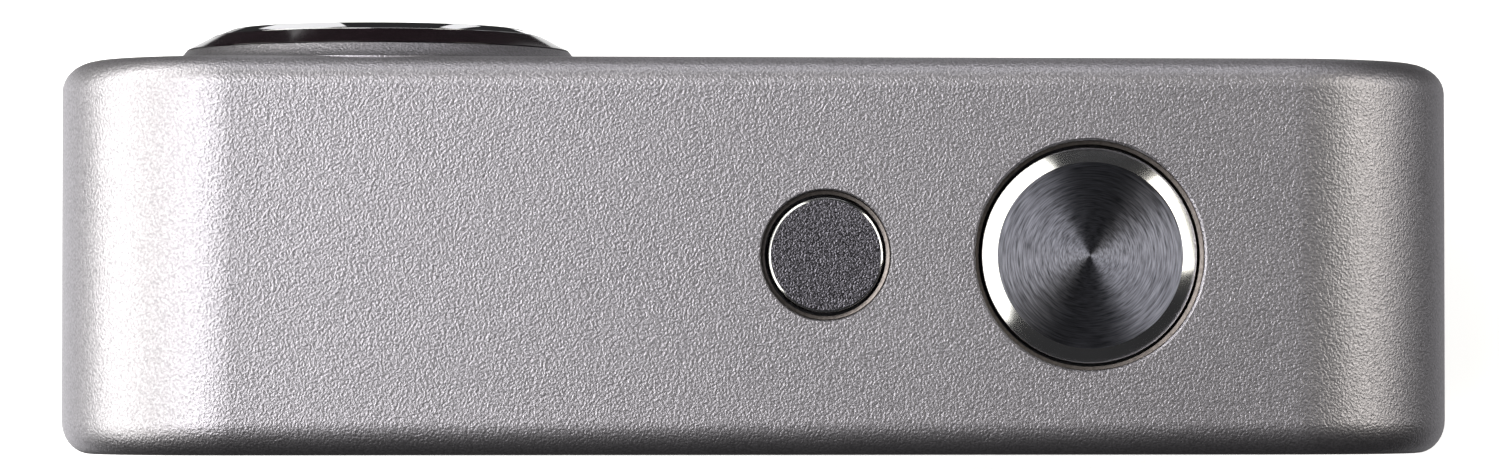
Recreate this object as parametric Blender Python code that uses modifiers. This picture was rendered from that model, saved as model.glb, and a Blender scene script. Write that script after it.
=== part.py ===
"""Subminiature digital camera: a pocket camera in a one-piece metal housing with long rounded ends.

Frame: +X runs along the camera towards the lens end, -Y is the front (the lens looks along -Y) and
+Z is up. The origin is the centre of the flat base. Sizes below are in millimetres, and the helpers
turn them into metres.
"""

import math

import bmesh
import bpy
from mathutils import Vector

MM = 0.001
MERGE = 1e-6

# Driving dimensions, in millimetres.
BODY_LENGTH = 86.0
BODY_DEPTH = 24.2
BODY_HEIGHT = 29.0
END_RADIUS = 10.8
EDGE_RADIUS = 1.9
WALL = 2.2
FRONT_WALL = 1.6

FRONT = -BODY_DEPTH / 2
BACK = BODY_DEPTH / 2
HALF_LENGTH = BODY_LENGTH / 2
MID_Z = BODY_HEIGHT / 2
INNER_END = HALF_LENGTH - WALL
INNER_FRONT = FRONT + FRONT_WALL
INNER_BOTTOM = WALL
INNER_TOP = BODY_HEIGHT - WALL
INNER_RADIUS = END_RADIUS - WALL

# Places along the camera.
LENS_X = 23.55
SHUTTER_X = -19.65
POWER_X = -3.6
FINDER_X = -1.0
PAD_X = -25.0
SMALL_KEY_X = -10.8
TRIPOD_X, TRIPOD_Y = 8.0, -3.5

# Holes and the pieces that run in them.
SHUTTER_HOLE_R, SHUTTER_R = 6.95, 6.55
POWER_HOLE_R, POWER_R = 3.89, 3.47
STEM_R = 1.6
POWER_STEM_R = 1.2
LENS_BORE_R = 10.9
BARREL_R = 6.2
POST_X, POST_DZ, POST_R = 37.9, 7.5, 2.0
PAD_HOLE_R, PAD_R, PAD_INNER_R, OK_R = 8.9, 8.6, 4.0, 3.6
KEY_R, KEY_HOLE_R = 2.0, 2.2

# Levels: the guide plate, the button board and the back cover.
GUIDE_Z = (22.9, 23.7)
BOARD_Z = (19.5, 20.1)
COVER_Y = (BACK - 1.8, BACK - 0.35)
KEY_TOP_Y = BACK - 0.05
KEY_BOARD_Y = (7.9, 8.5)
MAIN_BOARD_Y = (2.4, 3.2)
CHASSIS_Y = (6.3, 6.9)

# Battery door: its recess, plate and hinge line.
DOOR_X, DOOR_Y, DOOR_Z = (-31.4, -5.0), (-9.6, 3.4), (0.1, 1.1)
DOOR_PIN_X, DOOR_PIN_Z, DOOR_KNUCKLE_R, DOOR_PIN_R = -30.6, 0.75, 0.6, 0.28

# Port flap in the end away from the lens.
FLAP_Y, FLAP_Z = (-3.6, 5.6), (9.2, 19.8)
FLAP_PIN_X, FLAP_PIN_Y, FLAP_KNUCKLE_R, FLAP_PIN_R = -42.0, 5.6, 0.8, 0.35

# Which way a turned piece's own axis points, as a rotation of +Z.
TURN = {
    "+Z": (0.0, 0.0, 0.0),
    "-Z": (math.pi, 0.0, 0.0),
    "-Y": (math.pi / 2, 0.0, 0.0),
    "+Y": (-math.pi / 2, 0.0, 0.0),
    "+X": (0.0, math.pi / 2, 0.0),
    "-X": (0.0, -math.pi / 2, 0.0),
}


# ---------------------------------------------------------------- scene and materials


def clear_scene():
    for old in list(bpy.data.objects):
        bpy.data.objects.remove(old)


def new_collection(name):
    made = bpy.data.collections.new(name)
    bpy.context.scene.collection.children.link(made)
    return made


def principled(name, colour, roughness, metallic=0.0, transmission=0.0):
    made = bpy.data.materials.new(name)
    made.use_nodes = True
    shader = made.node_tree.nodes["Principled BSDF"]
    shader.inputs["Base Color"].default_value = (*colour, 1.0)
    shader.inputs["Roughness"].default_value = roughness
    shader.inputs["Metallic"].default_value = metallic
    shader.inputs["Transmission Weight"].default_value = transmission
    return made


clear_scene()
CAMERA = new_collection("subminiature_camera")
CUTTERS = new_collection("cutters")

SATIN_ALLOY = principled("satin_alloy", (0.42, 0.41, 0.42), 0.42, 1.0)
DARK_ALLOY = principled("dark_alloy", (0.10, 0.10, 0.12), 0.3, 1.0)
CHROME = principled("chrome", (0.75, 0.75, 0.76), 0.08, 1.0)
STEEL = principled("steel", (0.55, 0.55, 0.56), 0.3, 1.0)
BRASS = principled("brass", (0.75, 0.58, 0.3), 0.3, 1.0)
GLOSS_BLACK = principled("gloss_black", (0.012, 0.012, 0.013), 0.12)
BLACK_PLASTIC = principled("black_plastic", (0.03, 0.03, 0.032), 0.5)
BLACK_METAL = principled("black_metal", (0.02, 0.02, 0.022), 0.45, 0.4)
RUBBER = principled("black_rubber", (0.02, 0.02, 0.02), 0.75)
GLASS = principled("coated_glass", (0.85, 0.88, 0.95), 0.02, 0.0, 0.9)
CLEAR_PLASTIC = principled("clear_window", (0.05, 0.05, 0.06), 0.05, 0.0, 0.5)
CIRCUIT = principled("circuit_board", (0.02, 0.18, 0.07), 0.45)
CELL_LABEL = principled("cell_label", (0.12, 0.13, 0.15), 0.5)
SILICON = principled("silicon", (0.08, 0.1, 0.14), 0.15, 0.3)


# ---------------------------------------------------------------- shape helpers


def link(obj, material=None, helper=False):
    (CUTTERS if helper else CAMERA).objects.link(obj)
    if helper:
        obj.hide_render = True
        obj.display_type = "WIRE"
    elif material:
        obj.data.materials.append(material)
    return obj


def faces_looking(bm, side):
    axis, sign = "XYZ".index(side[1]), 1 if side[0] == "+" else -1
    return [f for f in bm.faces if f.normal[axis] * sign > 0.999]


def block(name, x, y, z, material=None, corner=0.0, along="Y", arc=6,
          edge=0.0, edge_sides=("-Y", "+Y"), edge_arc=2, origin=(0, 0, 0), helper=False):
    """A box from low to high along each axis. Its four edges along one axis are rounded with the radius
    corner, and then the rims of the named sides with the radius edge."""
    low = Vector((x[0], y[0], z[0]))
    high = Vector((x[1], y[1], z[1]))
    bm = bmesh.new()
    bmesh.ops.create_cube(bm, size=1.0)
    for v in bm.verts:
        place = [high[i] if v.co[i] > 0 else low[i] for i in range(3)]
        v.co = (Vector(place) - Vector(origin)) * MM
    if corner:
        axis = "XYZ".index(along)
        long_edges = [e for e in bm.edges
                      if abs(e.verts[0].co[axis] - e.verts[1].co[axis]) > MERGE]
        bmesh.ops.bevel(bm, geom=long_edges, offset=corner * MM, segments=arc,
                        profile=0.5, affect="EDGES")
    if edge:
        bm.normal_update()
        rims = {e for side in edge_sides for f in faces_looking(bm, side) for e in f.edges}
        bmesh.ops.bevel(bm, geom=list(rims), offset=edge * MM, segments=edge_arc,
                        profile=0.5, affect="EDGES")
    mesh = bpy.data.meshes.new(name)
    bm.to_mesh(mesh)
    bm.free()
    mesh.shade_smooth()
    mesh.set_sharp_from_angle(angle=math.radians(30))
    made = bpy.data.objects.new(name, mesh)
    made.location = Vector(origin) * MM
    return link(made, material, helper)


def turned(name, profile, at, axis, material=None, steps=32, helper=False):
    """A piece turned about its own axis. The profile lists (radius, height) down its outer side, with
    heights along the axis from the point at. A profile that never reaches radius 0 closes into a ring."""
    mesh = bpy.data.meshes.new(name)
    points = [(r * MM, 0.0, h * MM) for r, h in profile]
    edges = [(i, i + 1) for i in range(len(points) - 1)]
    if min(r for r, _ in profile) > 0:
        edges.append((len(points) - 1, 0))
    mesh.from_pydata(points, edges, [])
    made = bpy.data.objects.new(name, mesh)
    made.location = Vector(at) * MM
    made.rotation_euler = TURN[axis]
    screw = made.modifiers.new("turn", "SCREW")
    screw.steps = screw.render_steps = steps
    screw.use_merge_vertices = True
    screw.merge_threshold = MERGE
    screw.use_smooth_shade = True
    return link(made, material, helper)


def rod(name, radius, start, end, axis, material=None, steps=16, helper=False):
    """A plain cylinder along an axis, from one end's centre, of the length between the two heights."""
    profile = [(0, end), (radius, end), (radius, 0), (0, 0)]
    return turned(name, profile, start, axis, material, steps, helper)


def boolean(target, other, operation):
    step = target.modifiers.new(other.name, "BOOLEAN")
    step.operation = operation
    step.solver = "EXACT"
    step.object = other


def cut(target, *cutters):
    for cutter in cutters:
        boolean(target, cutter, "DIFFERENCE")


def join(target, *others):
    for other in others:
        boolean(target, other, "UNION")


def coil(name, radius, wire_r, low, high, turns, at, material):
    """A compression spring: a polyline helix with a round section."""
    per_turn = 10
    count = int(turns * per_turn)
    curve = bpy.data.curves.new(name, "CURVE")
    curve.dimensions = "3D"
    curve.bevel_depth = wire_r * MM
    curve.bevel_resolution = 1
    curve.use_fill_caps = True
    curve.resolution_u = 1
    spline = curve.splines.new("POLY")
    spline.points.add(count)
    for i, point in enumerate(spline.points):
        angle = 2 * math.pi * i / per_turn
        height = low + (high - low) * i / count
        place = Vector((radius * math.cos(angle), radius * math.sin(angle), height)) * MM
        point.co = (*place, 1.0)
    made = bpy.data.objects.new(name, curve)
    made.location = Vector(at) * MM
    return link(made, material)


def sector(name, inner, outer, middle, half_angle, y, material=None, helper=False):
    """A ring sector seen from the back: a flat outline of two arcs, extruded along Y."""
    steps = 8
    curve = bpy.data.curves.new(name, "CURVE")
    curve.dimensions = "2D"
    curve.fill_mode = "BOTH"
    curve.extrude = (y[1] - y[0]) / 2 * MM
    spline = curve.splines.new("POLY")
    outline = []
    for radius, sign in ((outer, 1), (inner, -1)):
        slim = half_angle - math.degrees(0.2 / radius)
        for i in range(steps + 1):
            angle = math.radians(middle + sign * slim * (2 * i / steps - 1))
            outline.append((radius * math.cos(angle), radius * math.sin(angle)))
    spline.points.add(len(outline) - 1)
    for point, (u, v) in zip(spline.points, outline):
        point.co = (u * MM, v * MM, 0.0, 1.0)
    spline.use_cyclic_u = True
    made = bpy.data.objects.new(name, curve)
    made.location = Vector((PAD_X, sum(y) / 2, MID_Z)) * MM
    made.rotation_euler = TURN["-Y"]
    return link(made, material, helper)


def as_mesh(obj):
    """The same shape as a mesh with its caps welded, which a Boolean can use."""
    graph = bpy.context.evaluated_depsgraph_get()
    mesh = bpy.data.meshes.new_from_object(obj.evaluated_get(graph))
    bm = bmesh.new()
    bm.from_mesh(mesh)
    bmesh.ops.remove_doubles(bm, verts=bm.verts, dist=MERGE)
    bmesh.ops.recalc_face_normals(bm, faces=bm.faces)
    bm.to_mesh(mesh)
    bm.free()
    name, matrix, helper = obj.name, obj.matrix_world.copy(), obj.hide_render
    materials = [slot.material for slot in obj.material_slots]
    bpy.data.objects.remove(obj)
    made = bpy.data.objects.new(name, mesh)
    made.matrix_world = matrix
    link(made, helper=helper)
    if materials and not made.data.materials:
        made.data.materials.append(materials[0])
    return made


# ---------------------------------------------------------------- housing


def body_form(name, helper=True, material=None):
    """The outer form of the camera: a long block with round ends and softly rounded rims."""
    return block(name, (-HALF_LENGTH, HALF_LENGTH), (FRONT, BACK), (0, BODY_HEIGHT), material,
                 corner=END_RADIUS, arc=10, edge=EDGE_RADIUS, edge_arc=4, helper=helper)


def posts(radius, y, name):
    """Four posts, or four holes, at the screw places near the corners."""
    made = []
    for i, (sx, sz) in enumerate(((1, 1), (-1, 1), (-1, -1), (1, -1)), 1):
        at = (sx * POST_X, y[0], MID_Z + sz * POST_DZ)
        made.append(rod(f"{name}_{i}", radius, at, y[1] - y[0], "+Y", steps=12, helper=True))
    return made


def build_housing():
    shell = body_form("body_shell", helper=False, material=SATIN_ALLOY)
    cavity = block("cavity", (-INNER_END, INNER_END), (INNER_FRONT, BACK + 1),
                   (INNER_BOTTOM, INNER_TOP), corner=INNER_RADIUS, arc=5, helper=True)
    cut(shell, cavity)

    # Pieces cast with the housing: the lens collar, four screw posts with shoulders that the chassis
    # plate rests on, two bosses for the guide plate and the block behind the strap pocket.
    collar = turned("lens_collar", [(12.0, 0.84), (12.24, 0.53), (12.55, 0.23), (12.95, -0.03),
                                    (12.95, -1.2), (10.0, -1.2), (10.0, 0.84)],
                    (LENS_X, FRONT, MID_Z), "-Y", steps=36, helper=True)
    bosses = [rod(f"guide_boss_{i}", 1.5, (x, 0, GUIDE_Z[1] + 0.1), INNER_TOP - GUIDE_Z[1] + 0.6,
                  "+Z", steps=12, helper=True)
              for i, x in enumerate((SHUTTER_X - 9.65, SHUTTER_X + 9.55), 1)]
    strap_block = block("strap_block", (INNER_END - 3.9, INNER_END + 0.5), (-5.2, 5.2),
                        (MID_Z - 4.0, MID_Z + 4.0), helper=True)
    join(shell, collar, *posts(POST_R, (INNER_FRONT - 0.5, COVER_Y[0] - 0.15), "post"),
         *posts(POST_R + 0.6, (INNER_FRONT - 0.6, CHASSIS_Y[0] - 0.1), "post_shoulder"),
         *bosses, strap_block)

    lens_bore = rod("lens_bore", LENS_BORE_R, (LENS_X, FRONT - 2, MID_Z), 5, "+Y", steps=36, helper=True)
    finder_hole = block("finder_hole", (FINDER_X - 4.1, FINDER_X + 4.1), (FRONT - 1, INNER_FRONT + 1),
                        (MID_Z - 3.1, MID_Z + 3.1), corner=1.5, arc=4, helper=True)
    light_hole = rod("status_light_hole", 1.3, (-12.5, FRONT - 1, MID_Z), 4, "+Y", helper=True)
    sound_hole = rod("sound_hole", 0.5, (7.5, FRONT - 1, 20.5), 4, "+Y", steps=12, helper=True)
    button_holes = [
        turned(f"{name}_hole", [(0, 1), (radius + 0.13, 1), (radius + 0.13, -0.01),
                                (radius, -0.14), (radius, -4), (0, -4)],
               (x, 0, BODY_HEIGHT), "+Z", steps=32, helper=True)
        for name, x, radius in (("shutter", SHUTTER_X, SHUTTER_HOLE_R), ("power", POWER_X, POWER_HOLE_R))]
    guide_holes = [rod(f"guide_screw_hole_{i}", 0.75, (x, 0, GUIDE_Z[1] - 0.5), 3.4, "+Z", steps=12,
                       helper=True)
                   for i, x in enumerate((SHUTTER_X - 9.65, SHUTTER_X + 9.55), 1)]
    cut(shell, lens_bore, finder_hole, light_hole, sound_hole, *button_holes, *guide_holes,
        *posts(0.8, (4.5, BACK), "post_hole"))

    # Underside: the battery door's recess, the way in, its hinge pin, the tripod socket's seat.
    door_recess = block("door_recess", (DOOR_X[0] - 0.3, DOOR_X[1] + 0.2),
                        (DOOR_Y[0] - 0.2, DOOR_Y[1] + 0.2), (-1, 1.5), corner=0.7, along="Z", arc=3,
                        helper=True)
    door_way = block("door_way", (DOOR_X[0] - 0.3, DOOR_X[1] - 1.3), (DOOR_Y[0] + 0.3, DOOR_Y[1] - 0.3),
                     (-1.1, WALL + 1), corner=0.6, along="Z", arc=2, helper=True)
    door_pin_hole = rod("door_pin_hole", DOOR_PIN_R + 0.06, (DOOR_PIN_X, DOOR_Y[0] - 1.1, DOOR_PIN_Z),
                        DOOR_Y[1] - DOOR_Y[0] + 2.2, "+Y", steps=12, helper=True)
    tripod_hole = rod("tripod_hole", 4.75, (TRIPOD_X, TRIPOD_Y, -1), WALL + 2, "+Z", steps=24, helper=True)
    cut(shell, door_recess, door_way, door_pin_hole, tripod_hole)

    # End away from the lens: the flap's recess, its hinge groove and pin, and the port behind it.
    flap_recess = block("flap_recess", (-HALF_LENGTH - 1, -HALF_LENGTH + 1.15),
                        (FLAP_Y[0] - 0.2, FLAP_PIN_Y + 1.1), (FLAP_Z[0] - 0.2, FLAP_Z[1] + 0.2),
                        corner=0.9, along="X", arc=3, helper=True)
    hinge_groove = block("hinge_groove", (-HALF_LENGTH - 1.1, FLAP_PIN_X + FLAP_KNUCKLE_R + 0.12),
                         (FLAP_PIN_Y - 1.1, FLAP_PIN_Y + 1.0), (FLAP_Z[0] + 1.0, FLAP_Z[1] - 1.0),
                         helper=True)
    flap_pin_hole = rod("flap_pin_hole", FLAP_PIN_R + 0.06, (FLAP_PIN_X, FLAP_PIN_Y, FLAP_Z[0] - 1.1),
                        FLAP_Z[1] - FLAP_Z[0] + 2.2, "+Z", steps=12, helper=True)
    port_hole = block("port_hole", (-HALF_LENGTH - 1.2, -INNER_END + 1), (-0.6, 2.6),
                      (MID_Z - 4.1, MID_Z + 4.1), helper=True)
    cut(shell, flap_recess, hinge_groove, flap_pin_hole, port_hole)

    # Lens end: the strap pocket and the seats of the bar across it.
    strap_pocket = block("strap_pocket", (HALF_LENGTH - 4.6, HALF_LENGTH + 1), (-3.8, 3.8),
                         (MID_Z - 2.7, MID_Z + 2.7), corner=1.6, along="X", arc=4, helper=True)
    strap_bar_hole = rod("strap_bar_hole", 0.72, (HALF_LENGTH - 1.4, 0, MID_Z - 3.6), 7.2, "+Z",
                         steps=12, helper=True)
    cut(shell, strap_pocket, strap_bar_hole)

    rod("strap_bar", 0.65, (HALF_LENGTH - 1.4, 0, MID_Z - 3.5), 7.0, "+Z", CHROME, steps=12)
    turned("tripod_socket", [(0, 7.2), (4.0, 7.2), (4.0, 1.3), (4.6, 1.3), (4.6, 0.05), (3.5, 0.05),
                             (3.18, 0.4), (3.18, 6.2), (0, 6.2)],
           (TRIPOD_X, TRIPOD_Y, 0), "+Z", BRASS, steps=24)
    turned("status_light", [(0, 0.0), (0.9, 0.0), (1.15, -0.15), (1.15, -1.9), (0, -1.9)],
           (-12.5, FRONT + 0.05, MID_Z), "-Y", CLEAR_PLASTIC, steps=12)
    rod("microphone", 2.0, (7.5, INNER_FRONT + 0.1, 20.5), 1.5, "+Y", STEEL, steps=16)


# ---------------------------------------------------------------- lens


def lens_piece(name, profile, material, steps=32, helper=False):
    """A turned piece on the lens axis, with heights measured forwards from the housing's front plane."""
    return turned(name, profile, (LENS_X, FRONT, MID_Z), "-Y", material, steps, helper)


def lens_box(name, half_x, half_z, y, material=None, corner=0.0, helper=False):
    return block(name, (LENS_X - half_x, LENS_X + half_x), y, (MID_Z - half_z, MID_Z + half_z),
                 material, corner=corner, arc=3, helper=helper)


def element(name, radius, front, back, front_bow, back_bow):
    """A lens element. A positive bow bulges away from the element's middle, a negative one is hollow."""
    steps = 3
    profile = []
    for i in range(steps + 1):
        share = i / steps
        profile.append((radius * share, front - front_bow * share**2))
    for i in range(steps, -1, -1):
        share = i / steps
        profile.append((radius * share, back + back_bow * share**2))
    return lens_piece(name, profile, GLASS, steps=20)


def build_lens():
    lens_piece("lens_bezel", [(10.25, 1.8), (11.95, 0.92), (11.95, 0.88), (10.75, 0.88), (10.75, -1.4),
                              (10.2, -1.4), (10.2, 1.8)], GLOSS_BLACK, steps=36)
    lens_piece("lens_trim_ring", [(9.1, 2.23), (10.1, 1.83), (10.1, 0.6), (8.5, 0.6), (8.5, 2.1),
                                  (8.7, 2.23)], CHROME, steps=36)
    lens_piece("lens_baffle", [(8.35, 1.95), (8.35, 0.5), (9.75, 0.5), (9.75, -1.5), (4.9, -1.5),
                               (4.9, -0.6), (7.9, 1.95)], BLACK_METAL, steps=28)
    lens_piece("lens_barrel", [(7.5, -1.6), (7.5, -2.4), (BARREL_R, -2.4), (BARREL_R, -13.9), (3.9, -13.9),
                               (3.9, -2.95), (4.75, -2.95), (4.75, -1.6)], BLACK_METAL, steps=24)
    element("front_element", 4.65, -0.45, -2.0, 1.35, -0.85)
    element("second_element", 3.8, -4.4, -5.2, -0.5, -0.5)
    lens_piece("aperture_stop", [(3.8, -6.4), (3.8, -6.7), (1.3, -6.7), (1.3, -6.4)], BLACK_METAL, steps=20)
    element("third_element", 3.8, -7.1, -9.5, 0.8, 0.8)
    element("rear_element", 3.8, -10.2, -12.4, 0.7, -0.5)

    mount = lens_box("lens_mount", 8.4, 7.9, (-2.0, 4.65), BLACK_PLASTIC, corner=1.2)
    barrel_seat = rod("barrel_seat", BARREL_R + 0.12, (LENS_X, -3.0, MID_Z), 4.95, "+Y", steps=24,
                      helper=True)
    cut(mount, barrel_seat, lens_box("light_way", 2.8, 2.3, (1.5, 2.5), helper=True),
        lens_box("filter_pocket", 3.4, 2.9, (2.15, 3.4), helper=True),
        lens_box("sensor_pocket", 4.6, 4.1, (3.0, 5.5), helper=True))
    lens_box("infrared_filter", 3.3, 2.8, (2.25, 2.75), GLASS)
    lens_box("image_sensor", 4.5, 4.0, (3.1, 4.4), SILICON)
    lens_box("sensor_board", 7.0, 6.0, (4.8, 5.6), CIRCUIT)


# ---------------------------------------------------------------- finder


def finder_box(name, half_x, half_z, y, material=None, corner=1.4, edge=0.0, helper=False):
    return block(name, (FINDER_X - half_x, FINDER_X + half_x), y, (MID_Z - half_z, MID_Z + half_z),
                 material, corner=corner, arc=4, edge=edge, edge_arc=1, helper=helper)


def build_finder():
    finder_box("finder_window", 4.0, 3.0, (FRONT + 0.1, INNER_FRONT - 0.1), CLEAR_PLASTIC, edge=0.15)
    tube = finder_box("finder_tube", 4.3, 3.5, (INNER_FRONT + 0.1, COVER_Y[0] - 0.5), BLACK_PLASTIC,
                      corner=0.0)
    cut(tube, finder_box("finder_way", 3.6, 2.8, (INNER_FRONT - 1, COVER_Y[0] + 1), corner=0.0, helper=True))
    finder_box("finder_eyepiece", 4.0, 3.0, (COVER_Y[0] - 0.4, COVER_Y[1] - 0.1), CLEAR_PLASTIC, edge=0.15)


# ---------------------------------------------------------------- buttons on top


def tact_switch(name, x, plunger_top):
    body = block(name, (x - 1.75, x + 1.75), (-1.75, 1.75), (BOARD_Z[1] + 0.05, BOARD_Z[1] + 0.7),
                 BLACK_PLASTIC)
    base = BOARD_Z[1] + 0.4
    join(body, rod(f"{name}_plunger", 0.9, (x, 0, base), plunger_top - base, "+Z", steps=16, helper=True))


def build_buttons():
    top = BODY_HEIGHT
    flange = INNER_TOP - 0.1
    turned("shutter_button", [(0, top + 0.08), (SHUTTER_R - 0.87, top + 0.15), (SHUTTER_R, top - 0.35),
                              (SHUTTER_R, flange), (7.5, flange), (7.5, flange - 0.7), (5.6, flange - 0.7),
                              (5.6, top - 1.5), (STEM_R, top - 1.5), (STEM_R, 21.95), (0, 21.95)],
           (SHUTTER_X, 0, 0), "+Z", DARK_ALLOY, steps=32)
    turned("power_button", [(0, top + 0.05), (POWER_R - 0.14, top + 0.05), (POWER_R, top - 0.08),
                            (POWER_R, flange), (4.5, flange), (4.5, flange - 0.7), (2.9, flange - 0.7),
                            (2.9, top - 1.3), (POWER_STEM_R, top - 1.3), (POWER_STEM_R, 21.55), (0, 21.55)],
           (POWER_X, 0, 0), "+Z", DARK_ALLOY, steps=24)

    plate = block("button_guide_plate", (SHUTTER_X - 11.4, POWER_X + 5.2), (-7.5, 5.9), GUIDE_Z, STEEL,
                  corner=1.5, along="Z", arc=2)
    cut(plate, *[rod(name, radius + 0.12, (x, 0, GUIDE_Z[0] - 1), 3, "+Z", steps=16, helper=True)
                 for name, x, radius in (("stem_hole", SHUTTER_X, STEM_R),
                                         ("power_stem_hole", POWER_X, POWER_STEM_R))])
    for i, x in enumerate((SHUTTER_X - 9.65, SHUTTER_X + 9.55), 1):
        hole = rod(f"guide_plate_hole_{i}", 0.85, (x, 0, GUIDE_Z[0] - 1), 3, "+Z", steps=12, helper=True)
        cut(plate, hole)
        turned(f"guide_screw_{i}", [(0, -0.05), (1.3, -0.05), (1.3, -0.55), (0.9, -0.75), (0, -0.75)],
               (x, 0, GUIDE_Z[0]), "+Z", STEEL, steps=16)
        shank = rod(f"guide_screw_shank_{i}", 0.65, (x, 0, GUIDE_Z[0] - 0.4), 3.2, "+Z", steps=12,
                    helper=True)
        join(bpy.data.objects[f"guide_screw_{i}"], shank)

    coil("shutter_spring", 2.6, 0.2, GUIDE_Z[1] + 0.3, top - 1.8, 3, (SHUTTER_X, 0, 0), STEEL)
    coil("power_spring", 1.9, 0.15, GUIDE_Z[1] + 0.25, top - 1.55, 3, (POWER_X, 0, 0), STEEL)
    block("button_board", (SHUTTER_X - 9.4, POWER_X + 4.6), (-7.4, 1.8), BOARD_Z, CIRCUIT)
    tact_switch("shutter_switch", SHUTTER_X, 21.05)
    tact_switch("power_switch", POWER_X, 21.05)


# ---------------------------------------------------------------- back: cover, display, keys


def screw(name, at):
    """A cross-head countersunk screw, driven along -Y from the back."""
    head = turned(name, [(0, 0), (1.3, 0), (0.72, -0.6), (0.72, -6.2), (0, -6.2)], at, "+Y", STEEL, steps=12)
    for i, (half_x, half_z) in enumerate(((0.75, 0.15), (0.15, 0.75))):
        cut(head, block(f"{name}_slot_{i}", (at[0] - half_x, at[0] + half_x), (at[1] - 0.35, at[1] + 1),
                        (at[2] - half_z, at[2] + half_z), helper=True))


def round_key(name, x, z, radius, flange):
    """A round key with a flange under the cover."""
    under = COVER_Y[0] - 0.15
    turned(name, [(0, KEY_TOP_Y - 0.06), (radius * 0.75, KEY_TOP_Y), (radius - 0.1, KEY_TOP_Y - 0.05),
                  (radius, KEY_TOP_Y - 0.25), (radius, under), (flange, under), (flange, under - 0.6),
                  (0, under - 0.6)],
           (x, 0, z), "+Y", BLACK_PLASTIC, steps=20)


def build_back():
    cover = block("back_cover", (-INNER_END + 0.15, INNER_END - 0.15), COVER_Y,
                  (INNER_BOTTOM + 0.15, INNER_TOP - 0.15), BLACK_PLASTIC, corner=INNER_RADIUS - 0.15, arc=7,
                  edge=0.25, edge_sides=("+Y",), edge_arc=1)
    window_x, window_z = (5.6, 35.0), (MID_Z - 11.1, MID_Z + 11.1)
    glass_seat = block("window_seat", window_x, (COVER_Y[1] - 1.1, BACK + 1), window_z, corner=1.2, arc=3,
                       helper=True)
    display_way = block("display_way", (window_x[0] + 0.9, window_x[1] - 0.9), (COVER_Y[0] - 1, BACK),
                        (window_z[0] + 0.7, window_z[1] - 0.7), helper=True)
    eyepiece_hole = finder_box("eyepiece_hole", 4.15, 3.15, (COVER_Y[0] - 1, BACK + 1), helper=True)
    pad_hole = rod("pad_hole", PAD_HOLE_R, (PAD_X, COVER_Y[0] - 1, MID_Z), 4, "+Y", steps=32, helper=True)
    key_holes = [rod(f"key_hole_{i}", KEY_HOLE_R, (SMALL_KEY_X, COVER_Y[0] - 1, MID_Z + dz), 4, "+Y",
                     steps=20, helper=True) for i, dz in enumerate((-6, 6))]
    speaker_holes = [rod(f"speaker_hole_{i}", 0.4, (-37.6, COVER_Y[0] - 1, MID_Z + 1.6 * i), 4, "+Y",
                         steps=8, helper=True) for i in (-1, 0, 1)]
    cut(cover, glass_seat, display_way, eyepiece_hole, pad_hole, *key_holes, *speaker_holes)
    for i, (sx, sz) in enumerate(((1, 1), (-1, 1), (-1, -1), (1, -1)), 1):
        place = (sx * POST_X, COVER_Y[1] - 0.05, MID_Z + sz * POST_DZ)
        profile = [(0, 1), (1.42, 1), (1.42, 0.0), (0.85, -0.62), (0.85, -3), (0, -3)]
        seat = turned(f"screw_seat_{i}", profile, place, "+Y", steps=12, helper=True)
        cut(cover, seat)
        screw(f"cover_screw_{i}", place)

    block("display_window", (window_x[0] + 0.12, window_x[1] - 0.12), (COVER_Y[1] - 1.0, COVER_Y[1]),
          (window_z[0] + 0.12, window_z[1] - 0.12), CLEAR_PLASTIC, corner=1.1, arc=3)
    block("lcd_panel", (5.4, 35.2), (8.9, COVER_Y[0] - 0.2), (MID_Z - 11.0, MID_Z + 11.0), SILICON)
    block("lcd_backlight", (5.2, 35.4), (7.3, 8.8), (MID_Z - 11.2, MID_Z + 11.2), STEEL)

    round_key("key_ok", PAD_X, MID_Z, OK_R, OK_R)
    round_key("key_play", SMALL_KEY_X, MID_Z + 6, KEY_R, KEY_R + 0.6)
    round_key("key_menu", SMALL_KEY_X, MID_Z - 6, KEY_R, KEY_R + 0.6)
    for name, angle in (("key_up", 90), ("key_down", -90), ("key_right", 180), ("key_left", 0)):
        key = as_mesh(sector(name, PAD_INNER_R, PAD_R, angle, 45,
                             (COVER_Y[0] - 0.6, KEY_TOP_Y), BLACK_PLASTIC))
        flange = as_mesh(sector(f"{name}_flange", PAD_INNER_R + 0.1, PAD_R + 0.9, angle, 45,
                                (COVER_Y[0] - 0.85, COVER_Y[0] - 0.15), helper=True))
        join(key, flange)
    board = block("key_board", (-34.9, -8.0), KEY_BOARD_Y, (4.6, 24.4), CIRCUIT, corner=1.5, arc=2)
    spots = [(PAD_X, MID_Z), (PAD_X - 6.3, MID_Z), (PAD_X + 6.3, MID_Z), (PAD_X, MID_Z - 6.3),
             (PAD_X, MID_Z + 6.3), (SMALL_KEY_X, MID_Z - 6), (SMALL_KEY_X, MID_Z + 6)]
    for i, (x, z) in enumerate(spots):
        join(board, turned(f"dome_{i}", [(0, 0.38), (0.9, 0.3), (1.5, 0.1), (1.5, -0.2), (0, -0.2)],
                           (x, KEY_BOARD_Y[1], z), "+Y", steps=10, helper=True))
    rod("speaker", 2.4, (-37.6, 8.6, MID_Z), 1.6, "+Y", STEEL, steps=16)


# ---------------------------------------------------------------- inside: chassis, boards, battery


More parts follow.
